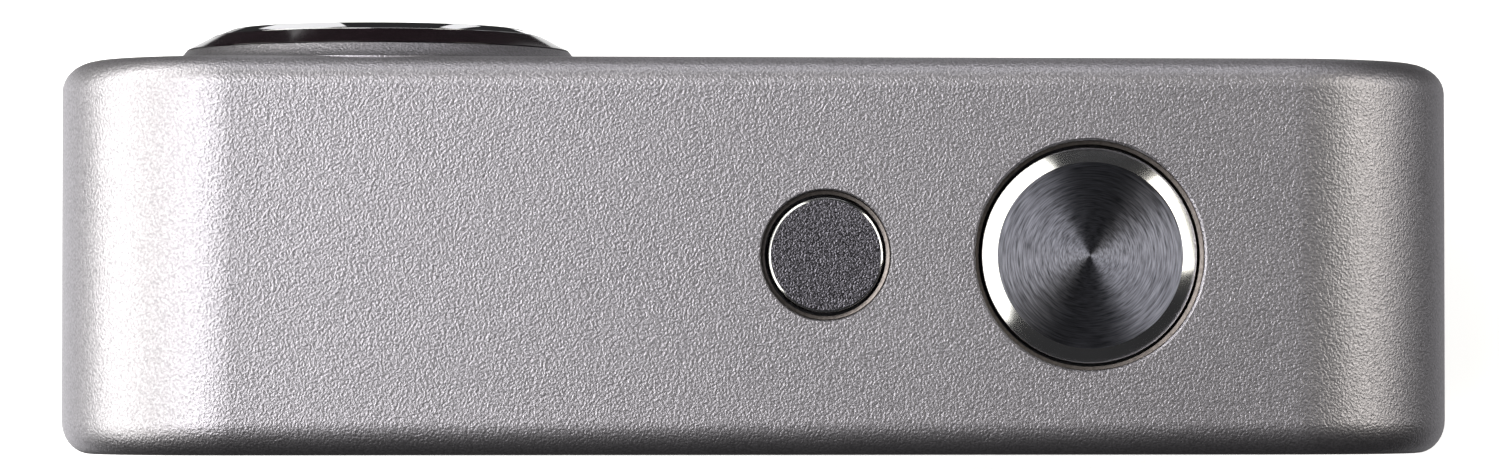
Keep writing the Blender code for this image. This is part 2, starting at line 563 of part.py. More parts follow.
def build_inside():
    plate = block("chassis_plate", (-INNER_END + 0.6, INNER_END - 0.6), CHASSIS_Y,
                  (INNER_BOTTOM + 0.6, 24.8), STEEL, corner=INNER_RADIUS - 0.6, arc=5)
    through = (CHASSIS_Y[0] - 1, CHASSIS_Y[1] + 1)
    cut(plate, finder_box("chassis_finder_hole", 4.6, 3.8, through, corner=0.0, helper=True),
        *posts(POST_R + 0.15, through, "post_way"))

    board = block("main_board", (-35.0, 13.5), MAIN_BOARD_Y, (3.2, 18.9), CIRCUIT)
    cut(board, finder_box("board_finder_hole", 4.7, 3.9, (1.0, 5.0), corner=0.0, helper=True))
    foot = MAIN_BOARD_Y[1] - 0.3
    join(board, block("processor", (-22.5, -12.5), (foot, foot + 1.5), (5.5, 15.5), helper=True),
         block("memory", (5.0, 12.5), (foot, foot + 1.3), (8.5, 14.5), helper=True))

    case = block("battery_compartment", (-30.3, -6.0), (INNER_FRONT + 0.5, -2.2), (2.4, 19.2), BLACK_PLASTIC)
    cut(case, block("battery_space", (-29.5, -6.7), (INNER_FRONT + 1.2, -2.9), (1.0, 18.5), helper=True))
    block("battery", (-29.3, -6.9), (INNER_FRONT + 1.4, -3.1), (3.0, 17.8), CELL_LABEL, corner=1.0,
          along="Z", arc=3)
    contacts = block("battery_contacts", (-24.0, -12.0), (-7.2, -5.0), (18.2, 18.4), BRASS)
    join(contacts, *[block(f"contact_{i}", (x - 0.8, x + 0.8), (-6.9, -5.3), (17.9, 18.3), helper=True)
                     for i, x in enumerate((-22, -18, -14))])

    socket = block("card_socket", (-25.0, -11.4), (-0.3, 2.3), (5.0, 18.9), STEEL)
    cut(socket, block("card_slot", (-24.0, -12.4), (0.35, 1.75), (4.0, 18.4), helper=True))
    block("memory_card", (-23.7, -12.7), (0.55, 1.55), (3.6, 18.0), BLACK_PLASTIC, corner=0.7, along="Y",
          arc=2)

    port = block("usb_socket", (-INNER_END + 0.1, -35.3), (-0.3, 2.3), (MID_Z - 3.8, MID_Z + 3.8), STEEL,
                 corner=0.6, along="X", arc=2)
    cut(port, block("port_mouth", (-INNER_END - 1, -36.0), (0.0, 2.0), (MID_Z - 3.45, MID_Z + 3.45),
                    helper=True))
    join(port, block("port_tongue", (-INNER_END + 1.2, -35.6), (0.8, 1.3), (MID_Z - 2.6, MID_Z + 2.6),
                     helper=True))


# ---------------------------------------------------------------- doors


def build_doors():
    hinge = (DOOR_PIN_X, 0, DOOR_PIN_Z)
    door = block("battery_door", (DOOR_PIN_X - 0.17, DOOR_X[1]), DOOR_Y, DOOR_Z, SATIN_ALLOY, origin=hinge)
    knuckle = rod("door_knuckle", DOOR_KNUCKLE_R, (DOOR_PIN_X, DOOR_Y[0] + 0.9, DOOR_PIN_Z),
                  DOOR_Y[1] - DOOR_Y[0] - 1.8, "+Y", steps=20, helper=True)
    pad = block("door_pad", (-28.4, -8.2), (-8.7, -3.5), (DOOR_Z[1] - 0.3, 2.6), corner=0.8, along="Z",
                arc=2, helper=True)
    join(door, knuckle, pad)
    cut(door, rod("knuckle_bore", DOOR_PIN_R + 0.07, (DOOR_PIN_X, DOOR_Y[0] - 1, DOOR_PIN_Z),
                  DOOR_Y[1] - DOOR_Y[0] + 2, "+Y", steps=16, helper=True),
        block("nail_notch", (DOOR_X[1] - 2.6, DOOR_X[1] - 1.4), (-6.1, -0.1), (-1, DOOR_Z[0] + 0.35),
              corner=0.5, along="Z", arc=3, helper=True))
    rod("battery_door_pin", DOOR_PIN_R, (DOOR_PIN_X, DOOR_Y[0] - 0.9, DOOR_PIN_Z),
        DOOR_Y[1] - DOOR_Y[0] + 1.8, "+Y", STEEL, steps=12)

    hinge = (FLAP_PIN_X, FLAP_PIN_Y, MID_Z)
    flap = block("usb_flap", (-HALF_LENGTH - 0.5, -HALF_LENGTH + 1.0), (FLAP_Y[0], FLAP_PIN_Y), FLAP_Z,
                 RUBBER, corner=0.7, along="X", arc=3, origin=hinge)
    boolean(flap, body_form("flap_skin"), "INTERSECT")
    knuckle = rod("flap_knuckle", FLAP_KNUCKLE_R, (FLAP_PIN_X, FLAP_PIN_Y, FLAP_Z[0] + 1.2),
                  FLAP_Z[1] - FLAP_Z[0] - 2.4, "+Z", steps=20, helper=True)
    plug = block("flap_plug", (-HALF_LENGTH + 0.7, -HALF_LENGTH + 1.9), (0.1, 1.9),
                 (MID_Z - 3.2, MID_Z + 3.2), helper=True)
    join(flap, knuckle, plug)
    cut(flap, rod("flap_bore", FLAP_PIN_R + 0.07, (FLAP_PIN_X, FLAP_PIN_Y, FLAP_Z[0] - 1),
                  FLAP_Z[1] - FLAP_Z[0] + 2, "+Z", steps=16, helper=True))
    rod("usb_flap_pin", FLAP_PIN_R, (FLAP_PIN_X, FLAP_PIN_Y, FLAP_Z[0] - 0.9), FLAP_Z[1] - FLAP_Z[0] + 1.8,
        "+Z", STEEL, steps=12)


build_housing()
build_lens()
build_finder()
build_buttons()
build_back()
build_inside()
build_doors()
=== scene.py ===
"""Looks for the subminiature camera: smooth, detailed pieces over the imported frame, their materials, a
plain pale floor, soft studio light and the camera.

Frame: +X towards the lens end, -Y the front, +Z up, origin at the centre of the base. Sizes below are in
millimetres unless a name says otherwise, and MM turns them into metres.
"""

import math

import bmesh
import bpy
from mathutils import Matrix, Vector


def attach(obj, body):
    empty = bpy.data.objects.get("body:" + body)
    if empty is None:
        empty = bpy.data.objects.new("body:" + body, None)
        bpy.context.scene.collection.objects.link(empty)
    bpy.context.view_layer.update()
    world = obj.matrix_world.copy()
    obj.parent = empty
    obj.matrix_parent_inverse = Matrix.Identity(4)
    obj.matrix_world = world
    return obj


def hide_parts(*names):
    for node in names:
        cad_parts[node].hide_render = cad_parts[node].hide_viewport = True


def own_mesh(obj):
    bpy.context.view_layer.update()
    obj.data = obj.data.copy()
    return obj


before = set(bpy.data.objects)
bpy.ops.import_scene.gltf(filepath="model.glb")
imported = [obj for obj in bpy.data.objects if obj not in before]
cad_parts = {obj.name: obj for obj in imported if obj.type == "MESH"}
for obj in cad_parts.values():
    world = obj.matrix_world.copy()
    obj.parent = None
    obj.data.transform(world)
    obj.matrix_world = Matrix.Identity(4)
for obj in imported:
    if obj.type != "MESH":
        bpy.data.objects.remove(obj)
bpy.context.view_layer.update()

MM = 0.001

# Sizes shared with the frame.
BODY_HEIGHT = 29.0
FRONT, BACK = -12.1, 12.1
HALF_LENGTH = 43.0
MID_Z = 14.5
WALL = 2.2
END_RADIUS = 10.8
INNER_FRONT = FRONT + 1.6
INNER_END = HALF_LENGTH - WALL
INNER_TOP = BODY_HEIGHT - WALL
LENS_X = 23.55
SHUTTER_X, SHUTTER_HOLE_R, SHUTTER_R = -19.65, 6.95, 6.55
POWER_X, POWER_HOLE_R, POWER_R = -3.6, 3.89, 3.47
FINDER_X = -1.0
PAD_X, SMALL_KEY_X = -25.0, -10.8
TRIPOD_X, TRIPOD_Y = 8.0, -3.5
COVER_Y = (BACK - 1.8, BACK - 0.35)
KEY_TOP_Y = BACK - 0.05
POST_X, POST_DZ = 37.9, 7.5
DOOR_X, DOOR_Y, DOOR_Z = (-31.4, -5.0), (-9.6, 3.4), (0.1, 1.1)
DOOR_PIN_X, DOOR_PIN_Z = -30.6, 0.75
FLAP_Y, FLAP_Z, FLAP_PIN_X = (-3.6, 5.6), (9.2, 19.8), -42.0
WINDOW_X, WINDOW_Z = (5.6, 35.0), (MID_Z - 11.1, MID_Z + 11.1)

SPEAKER_X, LIGHT_X, SOUND_X, SOUND_Z = -37.6, -12.5, 7.5, 20.5
SMALL_KEY_DZ = 6

# A button's hole and the step in it.
HOLE_DEPTH, STEP_DEPTH, STEP_WIDTH = 4.0, 0.5, 0.2

# Which way a turned piece's own axis points, as a rotation of +Z.
TURN = {
    "+Z": (0.0, 0.0, 0.0),
    "-Y": (math.pi / 2, 0.0, 0.0),
    "+Y": (-math.pi / 2, 0.0, 0.0),
}

# ---------------------------------------------------------------- shape helpers

ROUND_STEPS = 4


def add_mesh(name, bm, at=(0, 0, 0), axis="+Z", sharp=32.0):
    """An object of the mesh, shaded smooth except at edges sharper than so many degrees."""
    mesh = bpy.data.meshes.new(name)
    bm.normal_update()
    bm.to_mesh(mesh)
    bm.free()
    mesh.shade_smooth()
    mesh.set_sharp_from_angle(angle=math.radians(sharp))
    made = bpy.data.objects.new(name, mesh)
    made.location = Vector(at) * MM
    made.rotation_euler = TURN[axis]
    bpy.context.scene.collection.objects.link(made)
    return made


def softened(profile, closed):
    """The profile with each corner that gives a third number rounded by that radius."""
    count = len(profile)
    points = []
    for i, corner in enumerate(profile):
        here = Vector(corner[:2])
        if len(corner) < 3 or (not closed and i in (0, count - 1)):
            points.append(here)
            continue
        before = Vector(profile[i - 1][:2]) - here
        after = Vector(profile[(i + 1) % count][:2]) - here
        reach = min(corner[2], before.length * 0.49, after.length * 0.49)
        start = here + before.normalized() * reach
        end = here + after.normalized() * reach
        for step in range(ROUND_STEPS + 1):
            t = step / ROUND_STEPS
            points.append(start * (1 - t) ** 2 + here * 2 * t * (1 - t) + end * t**2)
    return points


def turned(name, profile, at=(0, 0, 0), axis="+Z", steps=128, sharp=32.0):
    """A piece turned about its own axis. The profile lists (radius, height) or (radius, height, rounding)
    down its outer side. One that never reaches radius 0 closes into a ring."""
    closed = min(corner[0] for corner in profile) > 0
    points = softened(profile, closed)
    bm = bmesh.new()
    rings = []
    for r, h in points:
        if r < 1e-6:
            rings.append([bm.verts.new((0, 0, h * MM))])
            continue
        angles = [2 * math.pi * i / steps for i in range(steps)]
        rings.append([bm.verts.new((r * MM * math.cos(a), r * MM * math.sin(a), h * MM)) for a in angles])
    pairs = list(zip(rings, rings[1:]))
    if closed:
        pairs.append((rings[-1], rings[0]))
    for upper, lower in pairs:
        for i in range(steps):
            j = (i + 1) % steps
            ring = [(upper, i), (lower, i), (lower, j), (upper, j)]
            corners = list(dict.fromkeys(row[k % len(row)] for row, k in ring))
            if len(corners) > 2:
                bm.faces.new(corners)
    bmesh.ops.recalc_face_normals(bm, faces=bm.faces)
    return add_mesh(name, bm, at, axis, sharp)


def rod(name, radius, start, length, axis, steps=48):
    return turned(name, [(0, length), (radius, length), (radius, 0), (0, 0)], start, axis, steps)


def block(name, x, y, z, corner=0.0, along="Y", arc=12, edge=0.0, edge_sides=(), edge_arc=5):
    """A box from low to high along each axis, rounded along one axis by corner, then at the rims of the
    named sides by edge."""
    low = Vector((x[0], y[0], z[0]))
    high = Vector((x[1], y[1], z[1]))
    bm = bmesh.new()
    bmesh.ops.create_cube(bm, size=1.0)
    for v in bm.verts:
        v.co = Vector([high[i] if v.co[i] > 0 else low[i] for i in range(3)]) * MM
    if corner:
        axis = "XYZ".index(along)
        long_edges = [e for e in bm.edges if abs(e.verts[0].co[axis] - e.verts[1].co[axis]) > 1e-7]
        bmesh.ops.bevel(bm, geom=long_edges, offset=corner * MM, segments=arc, profile=0.5, affect="EDGES")
    if edge:
        bm.normal_update()
        rims = set()
        for side in edge_sides:
            axis, sign = "XYZ".index(side[1]), 1 if side[0] == "+" else -1
            for face in bm.faces:
                if face.normal[axis] * sign > 0.999:
                    rims.update(face.edges)
        bmesh.ops.bevel(bm, geom=list(rims), offset=edge * MM, segments=edge_arc, profile=0.5,
                        affect="EDGES")
    return add_mesh(name, bm)


def carve(target, cut=(), join=(), keep=(), sharp=32.0):
    """Joins some shapes to the target, then cuts others from it, and leaves one mesh."""
    jobs = [(o, "UNION") for o in join] + [(o, "DIFFERENCE") for o in cut] + [(o, "INTERSECT") for o in keep]
    for other, operation in jobs:
        step = target.modifiers.new(other.name, "BOOLEAN")
        step.operation = operation
        step.solver = "MANIFOLD"
        step.object = other
    graph = bpy.context.evaluated_depsgraph_get()
    mesh = bpy.data.meshes.new_from_object(target.evaluated_get(graph))
    target.modifiers.clear()
    target.data = mesh
    for other, _ in jobs:
        bpy.data.objects.remove(other)
    mesh.shade_smooth()
    mesh.set_sharp_from_angle(angle=math.radians(sharp))
    return target


def prism(name, outline, y, at=(0, 0), edge=0.0):
    """A flat outline in X and Z, extruded along Y."""
    bm = bmesh.new()
    front = [bm.verts.new(((at[0] + u) * MM, y[0] * MM, (at[1] + v) * MM)) for u, v in outline]
    back = [bm.verts.new(((at[0] + u) * MM, y[1] * MM, (at[1] + v) * MM)) for u, v in outline]
    bm.faces.new(front)
    rear = bm.faces.new(list(reversed(back)))
    count = len(outline)
    for i in range(count):
        j = (i + 1) % count
        bm.faces.new((front[i], back[i], back[j], front[j]))
    bmesh.ops.recalc_face_normals(bm, faces=bm.faces)
    if edge:
        bmesh.ops.bevel(bm, geom=list(rear.edges), offset=edge * MM, segments=3, profile=0.5, affect="EDGES")
    return add_mesh(name, bm)


def finished(obj, material, body, *nodes, slot=None):
    """Gives a piece its material, its body and the frame nodes it stands for."""
    if not obj.data.materials:
        obj.data.materials.append(material)
    else:
        obj.data.materials[0] = material
    weighted = obj.modifiers.new("even_normals", "WEIGHTED_NORMAL")
    weighted.keep_sharp = True
    weighted.weight = 100
    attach(obj, body)
    if nodes:
        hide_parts(*nodes)
    return obj


def paint_faces(obj, material, wanted):
    """A second material on the faces whose middle, in the piece's own millimetres, the test accepts."""
    obj.data.materials.append(material)
    index = len(obj.data.materials) - 1
    for face in obj.data.polygons:
        if wanted(Vector(face.center) / MM, face.normal):
            face.material_index = index


# ---------------------------------------------------------------- material helpers

# Sockets of a mix node that blends colours.
MIX_FIRST, MIX_SECOND, MIX_RESULT = 6, 7, 2


class Look:
    """A Principled material and the nodes that vary it."""

    def __init__(self, name, colour, roughness, metallic=0.0, **fixed):
        self.material = bpy.data.materials.new(name)
        self.material.use_nodes = True
        self.nodes = self.material.node_tree.nodes
        self.links = self.material.node_tree.links
        self.shader = self.nodes["Principled BSDF"]
        self.colour = colour
        self.shader.inputs["Base Color"].default_value = (*colour, 1)
        self.shader.inputs["Roughness"].default_value = roughness
        self.shader.inputs["Metallic"].default_value = metallic
        for key, value in fixed.items():
            self.shader.inputs[key.replace("_", " ").title().replace("Ior", "IOR")].default_value = value
        self.place = self.nodes.new("ShaderNodeTexCoord").outputs["Object"]
        self.height = None

    def add(self, kind, **values):
        """A new node. A value goes to the socket of that name, or else to the node's own setting."""
        made = self.nodes.new(kind)
        for key, value in values.items():
            if key in made.inputs:
                made.inputs[key].default_value = value
            else:
                setattr(made, key, value)
        return made

    def stretched(self, scale, turn=(0, 0, 0)):
        """The piece's own coordinates, scaled and turned."""
        mapping = self.add("ShaderNodeMapping")
        mapping.inputs["Scale"].default_value = scale
        mapping.inputs["Rotation"].default_value = turn
        self.links.new(self.place, mapping.inputs["Vector"])
        return mapping.outputs["Vector"]

    def noise(self, per_mm, detail=2.0, stretch=(1, 1, 1)):
        """Noise with so many cells to a millimetre. Where it isn't stretched, it is tipped, so that no
        flat face lies along its grid."""
        made = self.add("ShaderNodeTexNoise", Scale=per_mm / MM, Detail=detail)
        tip = (0.6, 0.4, 0.5) if stretch == (1, 1, 1) else (0, 0, 0)
        self.links.new(self.stretched(stretch, tip), made.inputs["Vector"])
        return made.outputs["Fac"]

    def arcs(self, per_mm, per_radian=4.0):
        """Noise drawn out round the piece's own axis: fine across the radius, long along the circle."""
        flat = self.stretched((1, 1, 0))
        length = self.add("ShaderNodeVectorMath", operation="LENGTH")
        self.links.new(flat, length.inputs[0])
        heading = self.add("ShaderNodeVectorMath", operation="NORMALIZE")
        self.links.new(flat, heading.inputs[0])
        wide = self.add("ShaderNodeVectorMath", operation="SCALE", Scale=per_radian)
        self.links.new(heading.outputs["Vector"], wide.inputs[0])
        made = self.add("ShaderNodeTexNoise", noise_dimensions="4D", Scale=1.0, Detail=3.0)
        self.links.new(wide.outputs["Vector"], made.inputs["Vector"])
        across = self.add("ShaderNodeMath", operation="MULTIPLY")
        across.inputs[1].default_value = per_mm / MM
        self.links.new(length.outputs["Value"], across.inputs[0])
        self.links.new(across.outputs["Value"], made.inputs["W"])
        return made.outputs["Fac"]

    def ramp(self, value, low, high, start=0.3, end=0.7):
        """Low where the value is at start, high where it is at end."""
        made = self.add("ShaderNodeMapRange")
        made.inputs["From Min"].default_value = start
        made.inputs["From Max"].default_value = end
        made.inputs["To Min"].default_value = low
        made.inputs["To Max"].default_value = high
        self.links.new(value, made.inputs["Value"])
        return made.outputs["Result"]

    def vary_roughness(self, value, low, high):
        self.links.new(self.ramp(value, low, high), self.shader.inputs["Roughness"])

    def mix_colours(self, factor, first, second):
        """The base colour goes from the first at factor 0 to the second at factor 1."""
        mix = self.add("ShaderNodeMix", data_type="RGBA")
        mix.inputs[MIX_FIRST].default_value = (*first, 1)
        mix.inputs[MIX_SECOND].default_value = (*second, 1)
        self.links.new(factor, mix.inputs["Factor"])
        self.links.new(mix.outputs[MIX_RESULT], self.shader.inputs["Base Color"])

    def vary_colour(self, value, dark, light):
        """Mixes two shades of the base colour, given as factors."""
        shades = [[min(1.0, c * factor) for c in self.colour] for factor in (dark, light)]
        self.mix_colours(self.ramp(value, 0, 1), *shades)

    def bump(self, value, depth, strength=1.0):
        """Raises the surface by up to depth, in millimetres, on top of any bump before it."""
        made = self.add("ShaderNodeBump", Strength=strength, Distance=depth * MM)
        self.links.new(value, made.inputs["Height"])
        if self.height:
            self.links.new(self.height, made.inputs["Normal"])
        self.height = made.outputs["Normal"]
        self.links.new(self.height, self.shader.inputs["Normal"])


def blasted_metal(name, colour, roughness, grain=6.6, contrast=0.2, depth=0.043):
    """Metal blasted with fine beads: each pit throws back more light or less than its neighbours."""
    look = Look(name, colour, roughness, 1.0)
    speck = look.noise(grain, 1.0)
    look.vary_colour(speck, 1 - contrast, 1 + contrast)
    look.vary_roughness(look.noise(0.12, 2.0), roughness - 0.01, roughness + 0.01)
    look.bump(speck, depth, 1.0)
    return look.material


def polished_metal(name, colour, roughness):
    """Polished metal with faint handling marks."""
    look = Look(name, colour, roughness, 1.0)
    look.vary_roughness(look.noise(0.5, 2.0), roughness * 0.9, roughness * 1.15)
    look.vary_colour(look.noise(0.35, 3.0), 0.96, 1.03)
    look.bump(look.noise(6.0, 2.0), 0.0001, 0.3)
    return look.material


def spun_metal(name, colour, roughness, lines=12.0):
    """Metal faced on a lathe: broken circles that pull the reflections into two fans."""
    look = Look(name, colour, roughness, 1.0, anisotropic=0.92, anisotropic_rotation=0.25)
    tangent = look.add("ShaderNodeTangent", direction_type="RADIAL", axis="Z")
    look.links.new(tangent.outputs["Tangent"], look.shader.inputs["Tangent"])
    arcs = look.arcs(lines)
    look.vary_colour(arcs, 0.5, 1.6)
    look.vary_roughness(arcs, roughness - 0.04, roughness + 0.06)
    look.bump(arcs, 0.004, 0.6)
    return look.material


def brushed_metal(name, colour, roughness, stretch=(1, 0.04, 1)):
    """Metal with fine streaks, drawn out along the axis with the smallest number in stretch."""
    look = Look(name, colour, roughness, 1.0)
    streak = look.noise(12.0, 3.0, stretch)
    look.vary_colour(streak, 0.9, 1.08)
    look.vary_roughness(streak, roughness - 0.06, roughness + 0.08)
    look.bump(streak, 0.003, 0.4)
    return look.material


def textured_plastic(name, colour, roughness, grain=5.0, depth=0.01, **fixed):
    """Moulded plastic with a fine spark-eroded texture and slightly polished patches."""
    look = Look(name, colour, roughness, 0.0, **fixed)
    speck = look.noise(grain, 3.0)
    look.vary_colour(look.noise(0.2, 3.0), 0.88, 1.15)
    look.vary_roughness(look.noise(0.3, 3.0), roughness - 0.07, roughness + 0.07)
    look.bump(speck, depth, 0.5)
    return look.material


def gloss_paint(name, colour, roughness, coat=0.6, ior=1.5):
    """A smooth hard face with faint waves and wipe marks."""
    look = Look(name, colour, roughness, 0.0, coat_weight=coat, coat_roughness=0.05, ior=ior)
    look.vary_roughness(look.noise(0.6, 4.0), roughness * 0.8, roughness * 1.35)
    look.vary_colour(look.noise(0.8, 2.0), 0.85, 1.2)
    look.bump(look.noise(2.2, 2.0), 0.0015, 0.3)
    return look.material


def coated_glass(name, tint, coat_tint, transmission=0.9):
    """Glass with a tinted coating and a trace of haze."""
    look = Look(name, tint, 0.02, 0.0, ior=1.52, transmission_weight=transmission, coat_weight=1.0,
                coat_tint=(*coat_tint, 1))
    look.vary_roughness(look.noise(0.5, 4.0), 0.012, 0.035)
    look.vary_colour(look.noise(0.2, 2.0), 0.97, 1.03)
    return look.material


ALLOY = (0.441, 0.425, 0.461)
BODY_METAL = blasted_metal("bead_blasted_alloy", ALLOY, 0.44)
# The walls of the button holes are the housing's alloy in a darker, browner colour: painted shade down in
# the holes.
HOLE_PAINTED_SHADE = blasted_metal("hole_wall_painted_shade", (0.27, 0.24, 0.225), 0.34, 5.0, 0.2, 0.004)
# The collar is the housing's own alloy at 0.62 of its colour: painted shade.
COLLAR_PAINTED_SHADE = blasted_metal("collar_painted_shade", [c * 0.62 for c in ALLOY], 0.46)
CHROME = polished_metal("polished_chrome", (0.80, 0.80, 0.82), 0.05)
CHAMFER_METAL = polished_metal("diamond_cut_chamfer", (0.88, 0.88, 0.90), 0.14)
SPUN_METAL = spun_metal("spun_dark_alloy", (0.25, 0.253, 0.295), 0.34)
POWER_METAL = blasted_metal("dark_blasted_cap", (0.165, 0.158, 0.182), 0.34, 8.5, 0.75, 0.04)
SIDE_METAL = brushed_metal("button_side", (0.12, 0.12, 0.13), 0.35, (1, 1, 0.1))
GLOSS_BLACK = gloss_paint("black_ring_enamel", (0.0075, 0.0045, 0.006), 0.1, 0.0, 1.3)
MATT_BLACK = textured_plastic("matt_black_anodised", (0.012, 0.012, 0.013), 0.6, 7.0, 0.008)
COVER_PLASTIC = textured_plastic("cover_satin_black", (0.022, 0.022, 0.024), 0.42, 6.0, 0.008)
KEY_PLASTIC = textured_plastic("key_soft_black", (0.03, 0.03, 0.033), 0.34, 8.0, 0.004)
INNER_PLASTIC = textured_plastic("inner_black_moulding", (0.03, 0.03, 0.03), 0.55)
RUBBER = textured_plastic("flap_rubber", (0.03, 0.03, 0.032), 0.68, 4.0, 0.014)
STEEL = brushed_metal("plain_steel", (0.52, 0.52, 0.53), 0.28)
SCREW_METAL = spun_metal("screw_steel", (0.42, 0.42, 0.43), 0.3, lines=14.0)
SIGN_PAINT = textured_plastic("key_sign_paint", (0.62, 0.62, 0.62), 0.45, 9.0, 0.002)
SIGNAL_PLASTIC = textured_plastic("signal_light_amber", (0.55, 0.16, 0.03), 0.12, 3.0, 0.001,
                                  coat_weight=1.0)
DISPLAY_GLASS = gloss_paint("display_glass_black", (0.006, 0.007, 0.010), 0.04)
FINDER_GLASS = coated_glass("finder_glass", (0.10, 0.11, 0.13), (0.7, 0.8, 1.0), 0.5)
BRASS = brushed_metal("turned_brass", (0.70, 0.53, 0.27), 0.25, (1, 1, 0.06))
FRONT_GLASS = coated_glass("front_element_coating", (0.09, 0.09, 0.115), (0.8, 0.8, 1.0))
INNER_GLASS = coated_glass("inner_element_coating", (0.45, 0.50, 0.45), (0.7, 1.0, 0.75))


# ---------------------------------------------------------------- housing

CORNER_STEPS = 28
RIM_STEPS = 9
# How far each rim's rounding runs in from the outline, and along the depth.
FRONT_RIM = (2.3, 1.86)
BACK_RIM = (1.75, 2.03)


def outline(inset):
    """The long outline with round ends, pulled in by inset, as (x, z) points."""
    half_x, half_z = HALF_LENGTH - inset, MID_Z - inset
    radius = END_RADIUS - inset
    points = []
    for quarter, (sx, sz) in enumerate(((1, 1), (-1, 1), (-1, -1), (1, -1))):
        for step in range(CORNER_STEPS + 1):
            angle = math.pi / 2 * (quarter + step / CORNER_STEPS)
            points.append((sx * (half_x - radius) + radius * math.cos(angle),
                           MID_Z + sz * (half_z - radius) + radius * math.sin(angle)))
    return points


def body_form(name):
    """The housing's outer skin as a closed shape, with its rounded front and back rims."""
    levels = []
    for step in range(RIM_STEPS + 1):
        angle = math.pi / 2 * step / RIM_STEPS
        levels.append((FRONT + FRONT_RIM[1] * (1 - math.cos(angle)),
                       FRONT_RIM[0] * (1 - math.sin(angle))))
    for step in range(RIM_STEPS + 1):
        angle = math.pi / 2 * (1 - step / RIM_STEPS)
        levels.append((BACK - BACK_RIM[1] * (1 - math.cos(angle)), BACK_RIM[0] * (1 - math.sin(angle))))
    bm = bmesh.new()
    rings = [[bm.verts.new((x * MM, y * MM, z * MM)) for x, z in outline(inset)] for y, inset in levels]
    for near, far in zip(rings, rings[1:]):
        for i in range(len(near)):
            j = (i + 1) % len(near)
            bm.faces.new((near[i], near[j], far[j], far[i]))
    bm.faces.new(rings[0])
    bm.faces.new(rings[-1])
    bmesh.ops.recalc_face_normals(bm, faces=bm.faces)
    return add_mesh(name, bm)


def hole(name, radius, lip, x):
    """A round hole down from the top, with a rounded lip and a narrower stretch below a small step."""
    narrow = radius - STEP_WIDTH
    profile = [(0, 1), (radius + lip, 1), (radius + lip, 0.004), (radius + 0.01, -lip, lip),
               (radius, -STEP_DEPTH), (narrow, -STEP_DEPTH - 0.04), (narrow, -HOLE_DEPTH), (0, -HOLE_DEPTH)]
    return turned(name, profile, (x, 0, BODY_HEIGHT))


def corner_places(y):
    """The four corners at depth y where the posts stand and the cover's screws go."""
    return [(sx * POST_X, y, MID_Z + sz * POST_DZ) for sx, sz in ((1, 1), (-1, 1), (-1, -1), (1, -1))]


